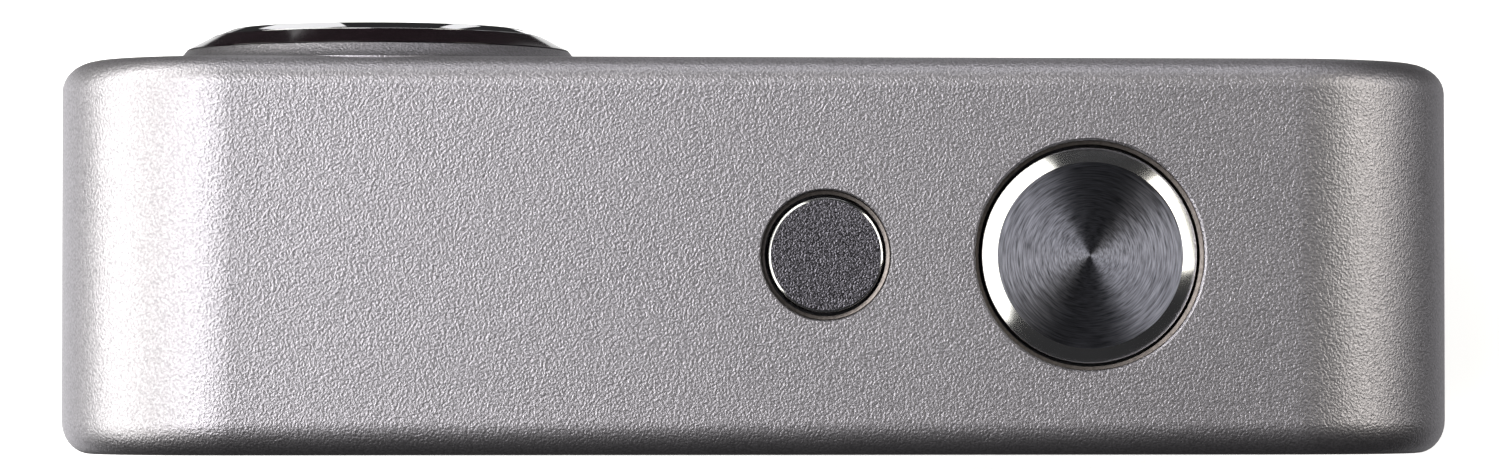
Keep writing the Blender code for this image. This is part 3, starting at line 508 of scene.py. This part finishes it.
def make_housing():
    shell = body_form("housing")
    cavity = block("cavity", (-INNER_END, INNER_END), (INNER_FRONT, BACK + 1), (WALL, INNER_TOP),
                   corner=END_RADIUS - WALL, arc=20)
    collar = turned("collar", [(12.0, 0.84, 0.03), (12.22, 0.56), (12.5, 0.3), (12.76, 0.1),
                               (12.95, -0.01), (12.95, -1.2), (10.0, -1.2), (10.0, 0.84)],
                    (LENS_X, FRONT, MID_Z), "-Y", 144)
    strap_block = block("strap_block", (INNER_END - 3.9, INNER_END + 0.5), (-5.2, 5.2),
                        (MID_Z - 4.0, MID_Z + 4.0))
    posts = [rod(f"post_{i}", 2.0, (x, INNER_FRONT - 0.5, z), 20.0, "+Y")
             for i, (x, _, z) in enumerate(corner_places(0))]
    carve(shell, join=[collar], cut=[cavity])
    carve(shell, join=[strap_block, *posts])

    cuts = [
        rod("lens_bore", 10.9, (LENS_X, FRONT - 2, MID_Z), 5, "+Y", 144),
        block("finder_hole", (FINDER_X - 4.1, FINDER_X + 4.1), (FRONT - 1, INNER_FRONT + 1),
              (MID_Z - 3.1, MID_Z + 3.1), corner=1.5),
        rod("light_hole", 1.3, (LIGHT_X, FRONT - 1, MID_Z), 4, "+Y"),
        rod("sound_hole", 0.5, (SOUND_X, FRONT - 1, SOUND_Z), 4, "+Y"),
        hole("shutter_hole", SHUTTER_HOLE_R, 0.18, SHUTTER_X),
        hole("power_hole", POWER_HOLE_R, 0.15, POWER_X),
        block("door_recess", (DOOR_X[0] - 0.3, DOOR_X[1] + 0.2), (DOOR_Y[0] - 0.2, DOOR_Y[1] + 0.2),
              (-1, 1.5), corner=0.7, along="Z"),
        block("door_swing_room", (DOOR_X[0] - 0.31, DOOR_X[0] + 1.0),
              (DOOR_Y[0] - 0.21, DOOR_Y[1] + 0.21), (-1.2, 1.49)),
        block("door_way", (DOOR_X[0] - 0.3, DOOR_X[1] - 1.3), (DOOR_Y[0] + 0.3, DOOR_Y[1] - 0.3),
              (-1.1, WALL + 1), corner=0.6, along="Z"),
        rod("tripod_hole", 4.75, (TRIPOD_X, TRIPOD_Y, -1), WALL + 2, "+Z", 96),
        block("flap_recess", (-HALF_LENGTH - 1, -HALF_LENGTH + 1.15), (FLAP_Y[0] - 0.2, FLAP_Y[1] + 1.1),
              (FLAP_Z[0] - 0.2, FLAP_Z[1] + 0.2), corner=0.9, along="X"),
        block("flap_swing_room", (-HALF_LENGTH - 1.05, -HALF_LENGTH + 1.13),
              (FLAP_Y[1] - 0.4, FLAP_Y[1] + 1.11), (FLAP_Z[0] - 0.21, FLAP_Z[1] + 0.21)),
        block("hinge_groove", (-HALF_LENGTH - 1.1, FLAP_PIN_X + 0.92), (FLAP_Y[1] - 1.1, FLAP_Y[1] + 1.0),
              (FLAP_Z[0] + 1.0, FLAP_Z[1] - 1.0)),
        block("port_hole", (-HALF_LENGTH - 1.2, -INNER_END + 1), (-0.6, 2.6), (MID_Z - 4.1, MID_Z + 4.1)),
        block("strap_pocket", (HALF_LENGTH - 4.6, HALF_LENGTH + 1), (-3.8, 3.8), (MID_Z - 2.7, MID_Z + 2.7),
              corner=1.6, along="X"),
    ]
    carve(shell, cut=cuts, sharp=38.0)
    finished(shell, BODY_METAL, "camera", "body_shell", slot="satin_alloy")

    def in_a_button_hole(middle, _):
        reach = min(math.hypot(middle.x - SHUTTER_X, middle.y) - SHUTTER_HOLE_R,
                    math.hypot(middle.x - POWER_X, middle.y) - POWER_HOLE_R)
        return INNER_TOP < middle.z < BODY_HEIGHT - 0.1 and reach < 0.04

    def on_the_collar(middle, _):
        return middle.y < FRONT - 0.01

    # Painted shade: the walls of the button holes take the darker alloy.
    paint_faces(shell, HOLE_PAINTED_SHADE, in_a_button_hole)
    # Painted shade: the collar's faces take the darkened housing alloy.
    paint_faces(shell, COLLAR_PAINTED_SHADE, on_the_collar)


# ---------------------------------------------------------------- lens


def lens_turned(name, profile, steps=144):
    return turned(name, profile, (LENS_X, FRONT, MID_Z), "-Y", steps)


def lens_element(name, radius, front, back, front_bow, back_bow, material):
    """Front and back are the heights of the faces' middles, and each bow is how far a face's rim lies
    behind or before that."""
    steps = 10
    profile = [(radius * i / steps, front - front_bow * (i / steps) ** 2) for i in range(steps + 1)]
    profile += [(radius * i / steps, back + back_bow * (i / steps) ** 2) for i in range(steps, -1, -1)]
    return finished(lens_turned(name, profile, 96), material, "camera", name.replace("glass_", ""),
                    slot="coated_glass")


def make_lens():
    ring = lens_turned("lens_ring", [(10.25, 1.8, 0.02), (11.95, 0.92, 0.04), (11.95, 0.88), (10.75, 0.88),
                                     (10.75, -1.4), (10.2, -1.4), (10.2, 1.8)])
    finished(ring, GLOSS_BLACK, "camera", "lens_bezel", slot="gloss_black")
    trim = lens_turned("polished_lens_ring", [(9.1, 2.23, 0.08), (10.1, 1.83, 0.03), (10.1, 0.6), (8.5, 0.6),
                                              (8.5, 2.1), (8.7, 2.23, 0.05)])
    finished(trim, CHROME, "camera", "lens_trim_ring", slot="chrome")

    # The baffle's funnel is stepped so that it throws back no light.
    steps, mouth, throat, rim, depth = 9, 7.9, 4.9, 1.95, 2.55
    funnel = []
    for i in range(steps):
        outer = mouth - (mouth - throat) * i / steps
        height = rim - depth * i / steps
        funnel += [(outer, height, 0.02), (outer, height - depth / steps, 0.02)]
    baffle = lens_turned("lens_funnel", [(8.35, rim), (8.35, 0.5), (9.75, 0.5), (9.75, -1.5),
                                         (throat, -1.5)] + funnel[::-1])
    finished(baffle, MATT_BLACK, "camera", "lens_baffle", slot="black_metal")
    lens_element("glass_front_element", 4.65, -0.45, -2.0, 1.35, -0.85, FRONT_GLASS)
    lens_element("glass_second_element", 3.8, -4.4, -5.2, -0.5, -0.5, INNER_GLASS)


# ---------------------------------------------------------------- buttons on top


def paint_cap(cap, face, edge, radius, slope):
    """The button's face inside the edge, and its bright chamfer from there out to the radius."""
    paint_faces(cap, face, lambda middle, normal: middle.z > -0.1 and math.hypot(*middle[:2]) < edge)
    paint_faces(cap, CHAMFER_METAL,
                lambda middle, normal: normal.z > slope and edge < math.hypot(*middle[:2]) <= radius)


def make_buttons():
    top = BODY_HEIGHT
    flange = INNER_TOP - 0.1 - top
    under = flange - 0.7
    shutter_end, power_end = 21.95 - top, 21.55 - top
    rim = SHUTTER_R - 0.9
    shutter = turned("shutter_cap", [(0, 0.02), (rim, 0.14), (SHUTTER_R, -0.35, 0.04), (SHUTTER_R, flange),
                                     (7.5, flange), (7.5, under), (5.6, under), (5.6, -1.5), (1.6, -1.5),
                                     (1.6, shutter_end), (0, shutter_end)],
                     (SHUTTER_X, 0, top), "+Z", 160, sharp=15.0)
    finished(shutter, SIDE_METAL, "shutter_button", "shutter_button", slot="dark_alloy")
    paint_cap(shutter, SPUN_METAL, rim - 0.04, SHUTTER_R, 0.3)

    power = turned("power_cap", [(0, 0.02), (POWER_R - 0.12, 0.05), (POWER_R, -0.02, 0.02),
                                 (POWER_R, flange), (4.5, flange), (4.5, under), (2.9, under), (2.9, -1.3),
                                 (1.2, -1.3), (1.2, power_end), (0, power_end)],
                   (POWER_X, 0, top), "+Z", 128, sharp=15.0)
    finished(power, SIDE_METAL, "power_button", "power_button", slot="dark_alloy")
    paint_cap(power, POWER_METAL, POWER_R - 0.16, POWER_R, 0.2)


def button_spring(name, radius, wire, low, high, x, node):
    """A coil between the guide plate and a button. Low and high are the ends of the wire's middle line."""
    turns, steps, sides = 3, 32, 12
    bm = bmesh.new()
    rings = []
    for i in range(turns * steps + 1):
        heading = 2 * math.pi * i / steps
        out = Vector((math.cos(heading), math.sin(heading), 0))
        middle = Vector((0, 0, (high - low) * i / (turns * steps))) + out * radius
        rings.append([])
        for side in range(sides):
            angle = 2 * math.pi * side / sides
            skin = out * wire * math.cos(angle) + Vector((0, 0, wire * math.sin(angle)))
            rings[-1].append(bm.verts.new((middle + skin) * MM))
    for near, far in zip(rings, rings[1:]):
        for i in range(sides):
            j = (i + 1) % sides
            bm.faces.new((near[i], near[j], far[j], far[i]))
    bm.faces.new(rings[0])
    bm.faces.new(rings[-1])
    bmesh.ops.recalc_face_normals(bm, faces=bm.faces)
    spring = finished(add_mesh(name, bm, (x, 0, low)), STEEL, "camera", node, slot="steel")
    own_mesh(spring)


def make_springs():
    button_spring("shutter_return_spring", 2.6, 0.2, 24.0, 27.2, SHUTTER_X,
                  "shutter_spring")
    button_spring("power_return_spring", 1.9, 0.15, 23.95, 27.45, POWER_X,
                  "power_spring")


# ---------------------------------------------------------------- back: cover, display, keys


def sector_outline(inner, outer, middle, half_angle, steps=18):
    """A ring sector as (u, v) points, straight-sided where it meets its neighbours."""
    points = []
    for radius, sign in ((outer, 1), (inner, -1)):
        slim = half_angle - math.degrees(0.2 / radius)
        for i in range(steps + 1):
            angle = math.radians(middle + sign * slim * (2 * i / steps - 1))
            points.append((radius * math.cos(angle), radius * math.sin(angle)))
    return points


def cross_screw(name, place, node):
    head = turned(name, [(0, -0.02), (1.0, -0.02), (1.3, -0.06, 0.05), (1.28, -0.14), (0.72, -0.62),
                         (0.72, -6.2), (0, -6.2)], place, "+Y", 64)
    slots = [block(f"{name}_{i}", (place[0] - u, place[0] + u), (place[1] - 0.4, place[1] + 1),
                   (place[2] - v, place[2] + v), corner=0.1, arc=4)
             for i, (u, v) in enumerate(((0.8, 0.16), (0.16, 0.8)))]
    carve(head, cut=slots)
    return finished(head, SCREW_METAL, "camera", node, slot="steel")


def symbol(name, outline, x, z, body):
    """A printed sign on a key: a thin inlay that stays level with the key's top."""
    made = prism(name, outline, (KEY_TOP_Y - 0.08, KEY_TOP_Y + 0.005), (x, z))
    return finished(made, SIGN_PAINT, body, slot="black_plastic")


def arrow_outline(angle, size=0.75):
    """A triangle that points along the angle."""
    c, s = math.cos(math.radians(angle)), math.sin(math.radians(angle))
    corners = ((size, 0.0), (-size * 0.6, size * 0.95), (-size * 0.6, -size * 0.95))
    return [(u * c - v * s, u * s + v * c) for u, v in corners]


def round_key(name, x, z, radius, flange, node):
    """A round key with a dished top, and a flange that the cover holds in."""
    under = COVER_Y[0] - 0.15 - KEY_TOP_Y
    bottom = under - 0.6
    key = turned(name, [(0, -0.1), (radius * 0.6, -0.07), (radius - 0.25, 0.0), (radius, -0.06, 0.12),
                        (radius, under), (flange, under), (flange, bottom), (0, bottom)],
                 (x, KEY_TOP_Y, z), "+Y", 96)
    return finished(key, KEY_PLASTIC, node, node, slot="black_plastic")


def make_back():
    cover = block("rear_panel", (-INNER_END + 0.15, INNER_END - 0.15), COVER_Y,
                  (WALL + 0.15, INNER_TOP - 0.15), corner=END_RADIUS - WALL - 0.15, arc=24, edge=0.3,
                  edge_sides=("+Y",))
    screws = corner_places(COVER_Y[1] - 0.05)
    seat = [(0, 1), (1.5, 1), (1.5, 0.08), (1.42, 0.0), (0.85, -0.62), (0.85, -3), (0, -3)]
    seats = [turned(f"seat_{i}", seat, place, "+Y", 64) for i, place in enumerate(screws)]
    cuts = [
        block("window_seat", WINDOW_X, (COVER_Y[1] - 1.1, BACK + 1), WINDOW_Z, corner=1.2),
        block("display_way", (WINDOW_X[0] + 0.9, WINDOW_X[1] - 0.9), (COVER_Y[0] - 1, BACK),
              (WINDOW_Z[0] + 0.7, WINDOW_Z[1] - 0.7)),
        block("eyepiece_hole", (FINDER_X - 4.15, FINDER_X + 4.15), (COVER_Y[0] - 1, BACK + 1),
              (MID_Z - 3.15, MID_Z + 3.15), corner=1.4),
        rod("pad_hole", 8.9, (PAD_X, COVER_Y[0] - 1, MID_Z), 4, "+Y", 128),
        *[rod(f"key_hole_{i}", 2.2, (SMALL_KEY_X, COVER_Y[0] - 1, MID_Z + dz), 4, "+Y", 64)
          for i, dz in enumerate((-SMALL_KEY_DZ, SMALL_KEY_DZ))],
        *[rod(f"speaker_hole_{i}", 0.4, (SPEAKER_X, COVER_Y[0] - 1, MID_Z + 1.6 * i), 4, "+Y", 32)
          for i in (-1, 0, 1)],
        *seats,
    ]
    carve(cover, cut=cuts)
    finished(cover, COVER_PLASTIC, "camera", "back_cover", slot="black_plastic")
    for i, place in enumerate(screws, 1):
        cross_screw(f"rear_screw_{i}", place, f"cover_screw_{i}")

    window = block("display_glass", (WINDOW_X[0] + 0.12, WINDOW_X[1] - 0.12),
                   (COVER_Y[1] - 1.0, COVER_Y[1] - 0.02), (WINDOW_Z[0] + 0.12, WINDOW_Z[1] - 0.12),
                   corner=1.1, edge=0.12, edge_sides=("+Y",), edge_arc=3)
    finished(window, DISPLAY_GLASS, "camera", "display_window", slot="clear_window")
    eyepiece = block("eyepiece_glass", (FINDER_X - 4.0, FINDER_X + 4.0),
                     (COVER_Y[0] - 0.4, COVER_Y[1] - 0.1), (MID_Z - 3.0, MID_Z + 3.0), corner=1.35,
                     edge=0.25, edge_sides=("+Y",))
    finished(eyepiece, FINDER_GLASS, "camera", "finder_eyepiece", slot="clear_window")


def make_keys():
    round_key("centre_key", PAD_X, MID_Z, 3.6, 3.6, "key_ok")
    round_key("upper_small_key", SMALL_KEY_X, MID_Z + SMALL_KEY_DZ, 2.0, 2.6, "key_play")
    round_key("lower_small_key", SMALL_KEY_X, MID_Z - SMALL_KEY_DZ, 2.0, 2.6, "key_menu")
    sign_reach = 6.3
    # Seen from behind, the pad's right side is towards -X.
    for node, angle in (("key_up", 90), ("key_down", -90), ("key_right", 180), ("key_left", 0)):
        key = prism(f"{node}_cap", sector_outline(4.0, 8.6, angle, 45), (COVER_Y[0] - 0.6, KEY_TOP_Y - 0.01),
                    (PAD_X, MID_Z), edge=0.22)
        flange = prism(f"{node}_flange", sector_outline(4.1, 9.5, angle, 45),
                       (COVER_Y[0] - 0.85, COVER_Y[0] - 0.15), (PAD_X, MID_Z))
        carve(key, join=[flange])
        finished(key, KEY_PLASTIC, node, node, slot="black_plastic")
        heading = math.radians(angle)
        symbol(f"{node}_sign", arrow_outline(angle), PAD_X + sign_reach * math.cos(heading),
               MID_Z + sign_reach * math.sin(heading), node)
    symbol("play_sign", arrow_outline(180, 0.7), SMALL_KEY_X, MID_Z + SMALL_KEY_DZ, "key_play")
    for i in (-1, 0, 1):
        low, high = i * 0.5 - 0.11, i * 0.5 + 0.11
        bar = ((-0.75, low), (0.75, low), (0.75, high), (-0.75, high))
        symbol(f"menu_sign_{i + 2}", bar, SMALL_KEY_X, MID_Z - SMALL_KEY_DZ, "key_menu")
    angles = [2 * math.pi * i / 40 for i in range(40)]
    dot = [(0.95 * math.cos(a), 0.95 * math.sin(a)) for a in angles]
    symbol("centre_sign", dot, PAD_X, MID_Z, "key_ok")


# ---------------------------------------------------------------- front, base and ends


def make_front():
    window = block("front_finder_glass", (FINDER_X - 4.0, FINDER_X + 4.0), (FRONT + 0.1, INNER_FRONT - 0.1),
                   (MID_Z - 3.0, MID_Z + 3.0), corner=1.4, edge=0.2, edge_sides=("-Y",))
    finished(window, FINDER_GLASS, "camera", "finder_window", slot="clear_window")
    light = turned("signal_light", [(0, 0.04), (0.5, 0.02), (0.9, -0.03), (1.15, -0.15, 0.05), (1.15, -1.9),
                                    (0, -1.9)], (LIGHT_X, FRONT + 0.05, MID_Z), "-Y", 64)
    finished(light, SIGNAL_PLASTIC, "camera", "status_light", slot="clear_window")


def make_base():
    threads = []
    for i in range(9):
        low = 0.75 + i * 0.6
        threads += [(3.18, low, 0.04), (3.35, low + 0.3, 0.04)]
    socket = turned("threaded_socket", [(0, 7.2), (4.0, 7.2), (4.0, 1.3), (4.6, 1.3), (4.6, 0.05, 0.08),
                                        (3.5, 0.05, 0.05), (3.18, 0.4), *threads, (0, 6.25)],
                    (TRIPOD_X, TRIPOD_Y, 0), "+Z", 96)
    finished(socket, BRASS, "camera", "tripod_socket", slot="brass")

    door = block("door_plate", (DOOR_PIN_X - 0.17, DOOR_X[1]), DOOR_Y, DOOR_Z, corner=0.5, along="Z", arc=6,
                 edge=0.12, edge_sides=("-Z",), edge_arc=3)
    depth = DOOR_Y[1] - DOOR_Y[0]
    knuckle = rod("knuckle", 0.6, (DOOR_PIN_X, DOOR_Y[0] + 0.9, DOOR_PIN_Z), depth - 1.8, "+Y")
    pad = block("pad", (-28.4, -8.2), (-8.7, -3.5), (DOOR_Z[1] - 0.3, 2.6), corner=0.8, along="Z")
    bore = rod("bore", 0.35, (DOOR_PIN_X, DOOR_Y[0] - 1, DOOR_PIN_Z), depth + 2, "+Y")
    grip_y = (-6.1, -0.1)
    notch = block("notch", (DOOR_X[1] - 2.6, DOOR_X[1] - 1.4), grip_y, (-1, DOOR_Z[0] + 0.35),
                  corner=0.55, along="Z")
    ribs = [block(f"rib_{i}", (DOOR_X[1] - 5.6 + i * 0.8, DOOR_X[1] - 5.2 + i * 0.8), grip_y,
                  (-1, DOOR_Z[0] + 0.18), corner=0.19, along="Z", arc=5) for i in range(3)]
    carve(door, join=[knuckle, pad])
    carve(door, cut=[bore, notch, *ribs])
    finished(door, BODY_METAL, "battery_door", "battery_door", slot="satin_alloy")


def make_ends():
    end = -HALF_LENGTH
    height = FLAP_Z[1] - FLAP_Z[0]
    flap = block("flap_cover", (end - 0.5, end + 1.0), FLAP_Y, FLAP_Z, corner=0.7, along="X")
    carve(flap, keep=[body_form("flap_skin")])
    knuckle = rod("flap_knuckle", 0.8, (FLAP_PIN_X, FLAP_Y[1], FLAP_Z[0] + 1.2), height - 2.4, "+Z")
    plug = block("plug", (end + 0.7, end + 1.9), (0.1, 1.9), (MID_Z - 3.2, MID_Z + 3.2))
    bore = rod("flap_bore", 0.42, (FLAP_PIN_X, FLAP_Y[1], FLAP_Z[0] - 1), height + 2, "+Z")
    lip = block("flap_lip", (end - 1, end + 0.3), (FLAP_Y[0] - 0.5, FLAP_Y[0] + 0.6),
                (MID_Z - 2.2, MID_Z + 2.2), corner=0.4, along="X")
    carve(flap, join=[knuckle, plug])
    carve(flap, cut=[bore, lip])
    finished(flap, RUBBER, "usb_flap", "usb_flap", slot="black_rubber")
    bar = rod("strap_pin", 0.65, (HALF_LENGTH - 1.4, 0, MID_Z - 3.5), 7.0, "+Z", 64)
    finished(bar, CHROME, "camera", "strap_bar", slot="chrome")


# ---------------------------------------------------------------- inside


def circuit_material(name, colour):
    """Solder mask over copper tracks, with paler lines and a faint grain."""
    look = Look(name, colour, 0.42, 0.0, coat_weight=0.25)
    tracks = look.add("ShaderNodeTexVoronoi", feature="DISTANCE_TO_EDGE", Scale=0.9 / MM, Randomness=0.35)
    look.links.new(look.place, tracks.inputs["Vector"])
    edges = look.ramp(tracks.outputs["Distance"], 1, 0, 0.03, 0.07)
    look.mix_colours(edges, colour, [min(1.0, c * 2.4 + 0.02) for c in colour])
    look.vary_roughness(look.noise(1.5, 3.0), 0.34, 0.5)
    look.bump(edges, 0.02, 0.5)
    return look.material


def pixel_material(name, colour, per_mm, roughness):
    """A fine square grid of cells under a smooth face."""
    look = Look(name, colour, roughness, 0.2, coat_weight=0.5)
    cells = look.add("ShaderNodeTexVoronoi", feature="F1", distance="CHEBYCHEV", Scale=per_mm / MM,
                     Randomness=0.0)
    look.links.new(look.place, cells.inputs["Vector"])
    look.vary_colour(cells.outputs["Distance"], 1.3, 0.5)
    look.vary_roughness(look.noise(0.4, 2.0), roughness * 0.8, roughness * 1.2)
    return look.material


# The height at which the wrap's band begins.
BAND_Z = 13.8


def label_material(name, colour):
    """A printed wrap round a cell, with a paler band, fine creases and a satin varnish."""
    look = Look(name, colour, 0.4, 0.1, coat_weight=0.3)
    split = look.add("ShaderNodeSeparateXYZ")
    look.links.new(look.place, split.inputs["Vector"])
    band = look.ramp(split.outputs["Z"], 0, 1, BAND_Z * MM, (BAND_Z + 0.1) * MM)
    look.mix_colours(band, colour, (0.32, 0.34, 0.36))
    look.vary_roughness(look.noise(0.6, 3.0), 0.33, 0.5)
    look.bump(look.noise(0.5, 3.0, (1, 1, 0.2)), 0.02, 0.4)
    return look.material


def dress(material, *nodes):
    """Gives a material to CAD nodes whose shape is right as it is."""
    for name in nodes:
        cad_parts[name].data.materials.clear()
        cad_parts[name].data.materials.append(material)


def dress_inside():
    dress(circuit_material("board_mask", (0.015, 0.10, 0.05)), "main_board", "sensor_board", "button_board",
          "key_board")
    dress(pixel_material("sensor_cells", (0.10, 0.11, 0.16), 22.0, 0.14), "image_sensor")
    dress(pixel_material("display_cells", (0.05, 0.055, 0.07), 12.0, 0.2), "lcd_panel")
    dress(label_material("cell_wrap", (0.06, 0.065, 0.08)), "battery")
    dress(STEEL, "chassis_plate", "button_guide_plate", "guide_screw_1", "guide_screw_2", "card_socket",
          "usb_socket", "battery_door_pin", "usb_flap_pin", "lcd_backlight", "microphone", "speaker")
    dress(BRASS, "battery_contacts")
    dress(INNER_PLASTIC, "finder_tube", "lens_mount", "battery_compartment", "memory_card", "shutter_switch",
          "power_switch")
    dress(MATT_BLACK, "lens_barrel", "aperture_stop")
    dress(INNER_GLASS, "third_element", "rear_element", "infrared_filter")


# ---------------------------------------------------------------- stage

FLOOR_GLOW = 0.75
# Light from all round: what the pieces reflect, and what the camera sees past the floor's edge.
SURROUNDING_LIGHT, SEEN_LIGHT = 0.03, 1.0
CARD_Z = 1.0


def plain_material(name, colour, glow):
    look = Look(name, colour, 0.6)
    look.vary_colour(look.noise(0.02, 2.0), 0.985, 1.0)
    look.shader.inputs["Emission Color"].default_value = (1, 1, 1, 1)
    look.shader.inputs["Emission Strength"].default_value = glow
    return look.material


def make_floor():
    bm = bmesh.new()
    bmesh.ops.create_grid(bm, x_segments=1, y_segments=1, size=4.0)
    floor = add_mesh("floor", bm)
    floor.data.materials.append(plain_material("pale_floor", (0.82, 0.82, 0.82), FLOOR_GLOW))
    floor.visible_glossy = False


# Name, azimuth, elevation, distance in metres, width and height as seen from the object, radiance and
# tint. Azimuth 0 stands at +X and 90 at +Y. All angles are in degrees.
SOFT_BOXES = (
    ("low_box", -17, 4, 0.20, 96, 22, 5.0, (1.0, 1.0, 0.93)),
    ("middle_box", -17, 41, 0.60, 96, 24, 2.1, (1.0, 0.985, 0.895)),
    ("high_box", -17, 64, 0.45, 60, 20, 5.2, (1.0, 0.993, 0.98)),
    ("side_low_box", 199, 1, 0.20, 46, 16, 0.7, (1.0, 1.0, 1.0)),
    ("side_box", 199, 31.5, 0.60, 46, 21, 3.7, (1.0, 0.97, 0.86)),
    ("front_low_box", -90, 3, 0.25, 50, 14, 2.05, (1.0, 1.0, 1.0)),
    ("front_box", -90, 14, 0.60, 50, 12, 0.7, (1.0, 1.0, 1.0)),
)

# White cards that lie just above the floor, as name, x, y and radiance. The first two show in the
# polished lens ring and the next two in the ends of the black one. Then comes one for the lower part of
# each end of the housing, and the last two show in the lower part of its front.
CARDS = (
    ("left_card", (27.6, 34.4), (-36.4, -24.0), 1.0),
    ("right_card", (14.6, 16.6), (-33.6, -24.5), 1.0),
    ("left_ring_card", (35.2, 39.5), (-18.5, -14.2), 1.2),
    ("right_ring_card", (8.5, 13.6), (-19.0, -14.2), 1.2),
    ("lens_end_card", (47.0, 75.0), (-20.0, 25.0), 1.1),
    ("far_end_card", (-75.0, -47.0), (-20.0, 25.0), 0.4),
    ("front_card", (-42.0, 10.0), (-50.0, -16.0), 0.3),
    ("front_strip_card", (-44.0, 44.0), (-19.0, -13.0), 0.45),
)


def card(name, x, y, radiance):
    """An area light that faces up, in the place of a white card."""
    data = bpy.data.lights.new(name, "AREA")
    data.shape = "RECTANGLE"
    data.size, data.size_y = (x[1] - x[0]) * MM, (y[1] - y[0]) * MM
    data.energy = math.pi * data.size * data.size_y * radiance
    made = bpy.data.objects.new(name, data)
    made.location = Vector(((x[0] + x[1]) / 2, (y[0] + y[1]) / 2, CARD_Z)) * MM
    made.rotation_euler = (math.pi, 0, 0)
    made.visible_camera = False
    bpy.context.scene.collection.objects.link(made)


def soft_box(name, azimuth, elevation, distance, width, height, radiance, tint):
    """An area light aimed at the camera's top."""
    a, e = math.radians(azimuth), math.radians(elevation)
    aim = Vector((0, 0, BODY_HEIGHT * MM))
    place = Vector((math.cos(a) * math.cos(e), math.sin(a) * math.cos(e), math.sin(e))) * distance + aim
    data = bpy.data.lights.new(name, "AREA")
    data.shape = "RECTANGLE"
    data.size = 2 * distance * math.tan(math.radians(width / 2))
    data.size_y = 2 * distance * math.tan(math.radians(height / 2))
    data.energy = math.pi * data.size * data.size_y * radiance
    data.color = tint
    made = bpy.data.objects.new(name, data)
    made.location = place
    made.rotation_euler = (aim - place).to_track_quat("-Z", "Y").to_euler()
    made.visible_camera = False
    bpy.context.scene.collection.objects.link(made)


def make_lights():
    for box in SOFT_BOXES:
        soft_box(*box)
    for item in CARDS:
        card(*item)
    world = bpy.data.worlds.new("studio")
    world.use_nodes = True
    background = world.node_tree.nodes["Background"]
    background.inputs["Color"].default_value = (0.9, 0.9, 0.92, 1)
    path = world.node_tree.nodes.new("ShaderNodeLightPath")
    strength = world.node_tree.nodes.new("ShaderNodeMapRange")
    strength.inputs["To Min"].default_value = SURROUNDING_LIGHT
    strength.inputs["To Max"].default_value = SEEN_LIGHT
    world.node_tree.links.new(path.outputs["Is Camera Ray"], strength.inputs["Value"])
    world.node_tree.links.new(strength.outputs["Result"], background.inputs["Strength"])
    bpy.context.scene.world = world


# The photograph's camera, fitted to the outline, the rings and the button holes.
FOCAL_LENGTH, SENSOR_WIDTH = 139.15, 36.0
CAMERA_PLACE_M = (0.01989, 0.00712, 0.37852)
CAMERA_TURN = (1.3677, -3.0947, 179.9948)


def make_camera():
    data = bpy.data.cameras.new("view")
    data.sensor_width = SENSOR_WIDTH
    data.lens = FOCAL_LENGTH
    data.clip_start, data.clip_end = 0.01, 20.0
    made = bpy.data.objects.new("view", data)
    made.location = CAMERA_PLACE_M
    made.rotation_euler = [math.radians(angle) for angle in CAMERA_TURN]
    bpy.context.scene.collection.objects.link(made)
    bpy.context.scene.camera = made


make_camera()
make_housing()
make_lens()
make_buttons()
make_springs()
make_front()
make_back()
make_keys()
make_base()
make_ends()
dress_inside()
make_floor()
make_lights()
bpy.context.scene.view_settings.view_transform = "Standard"
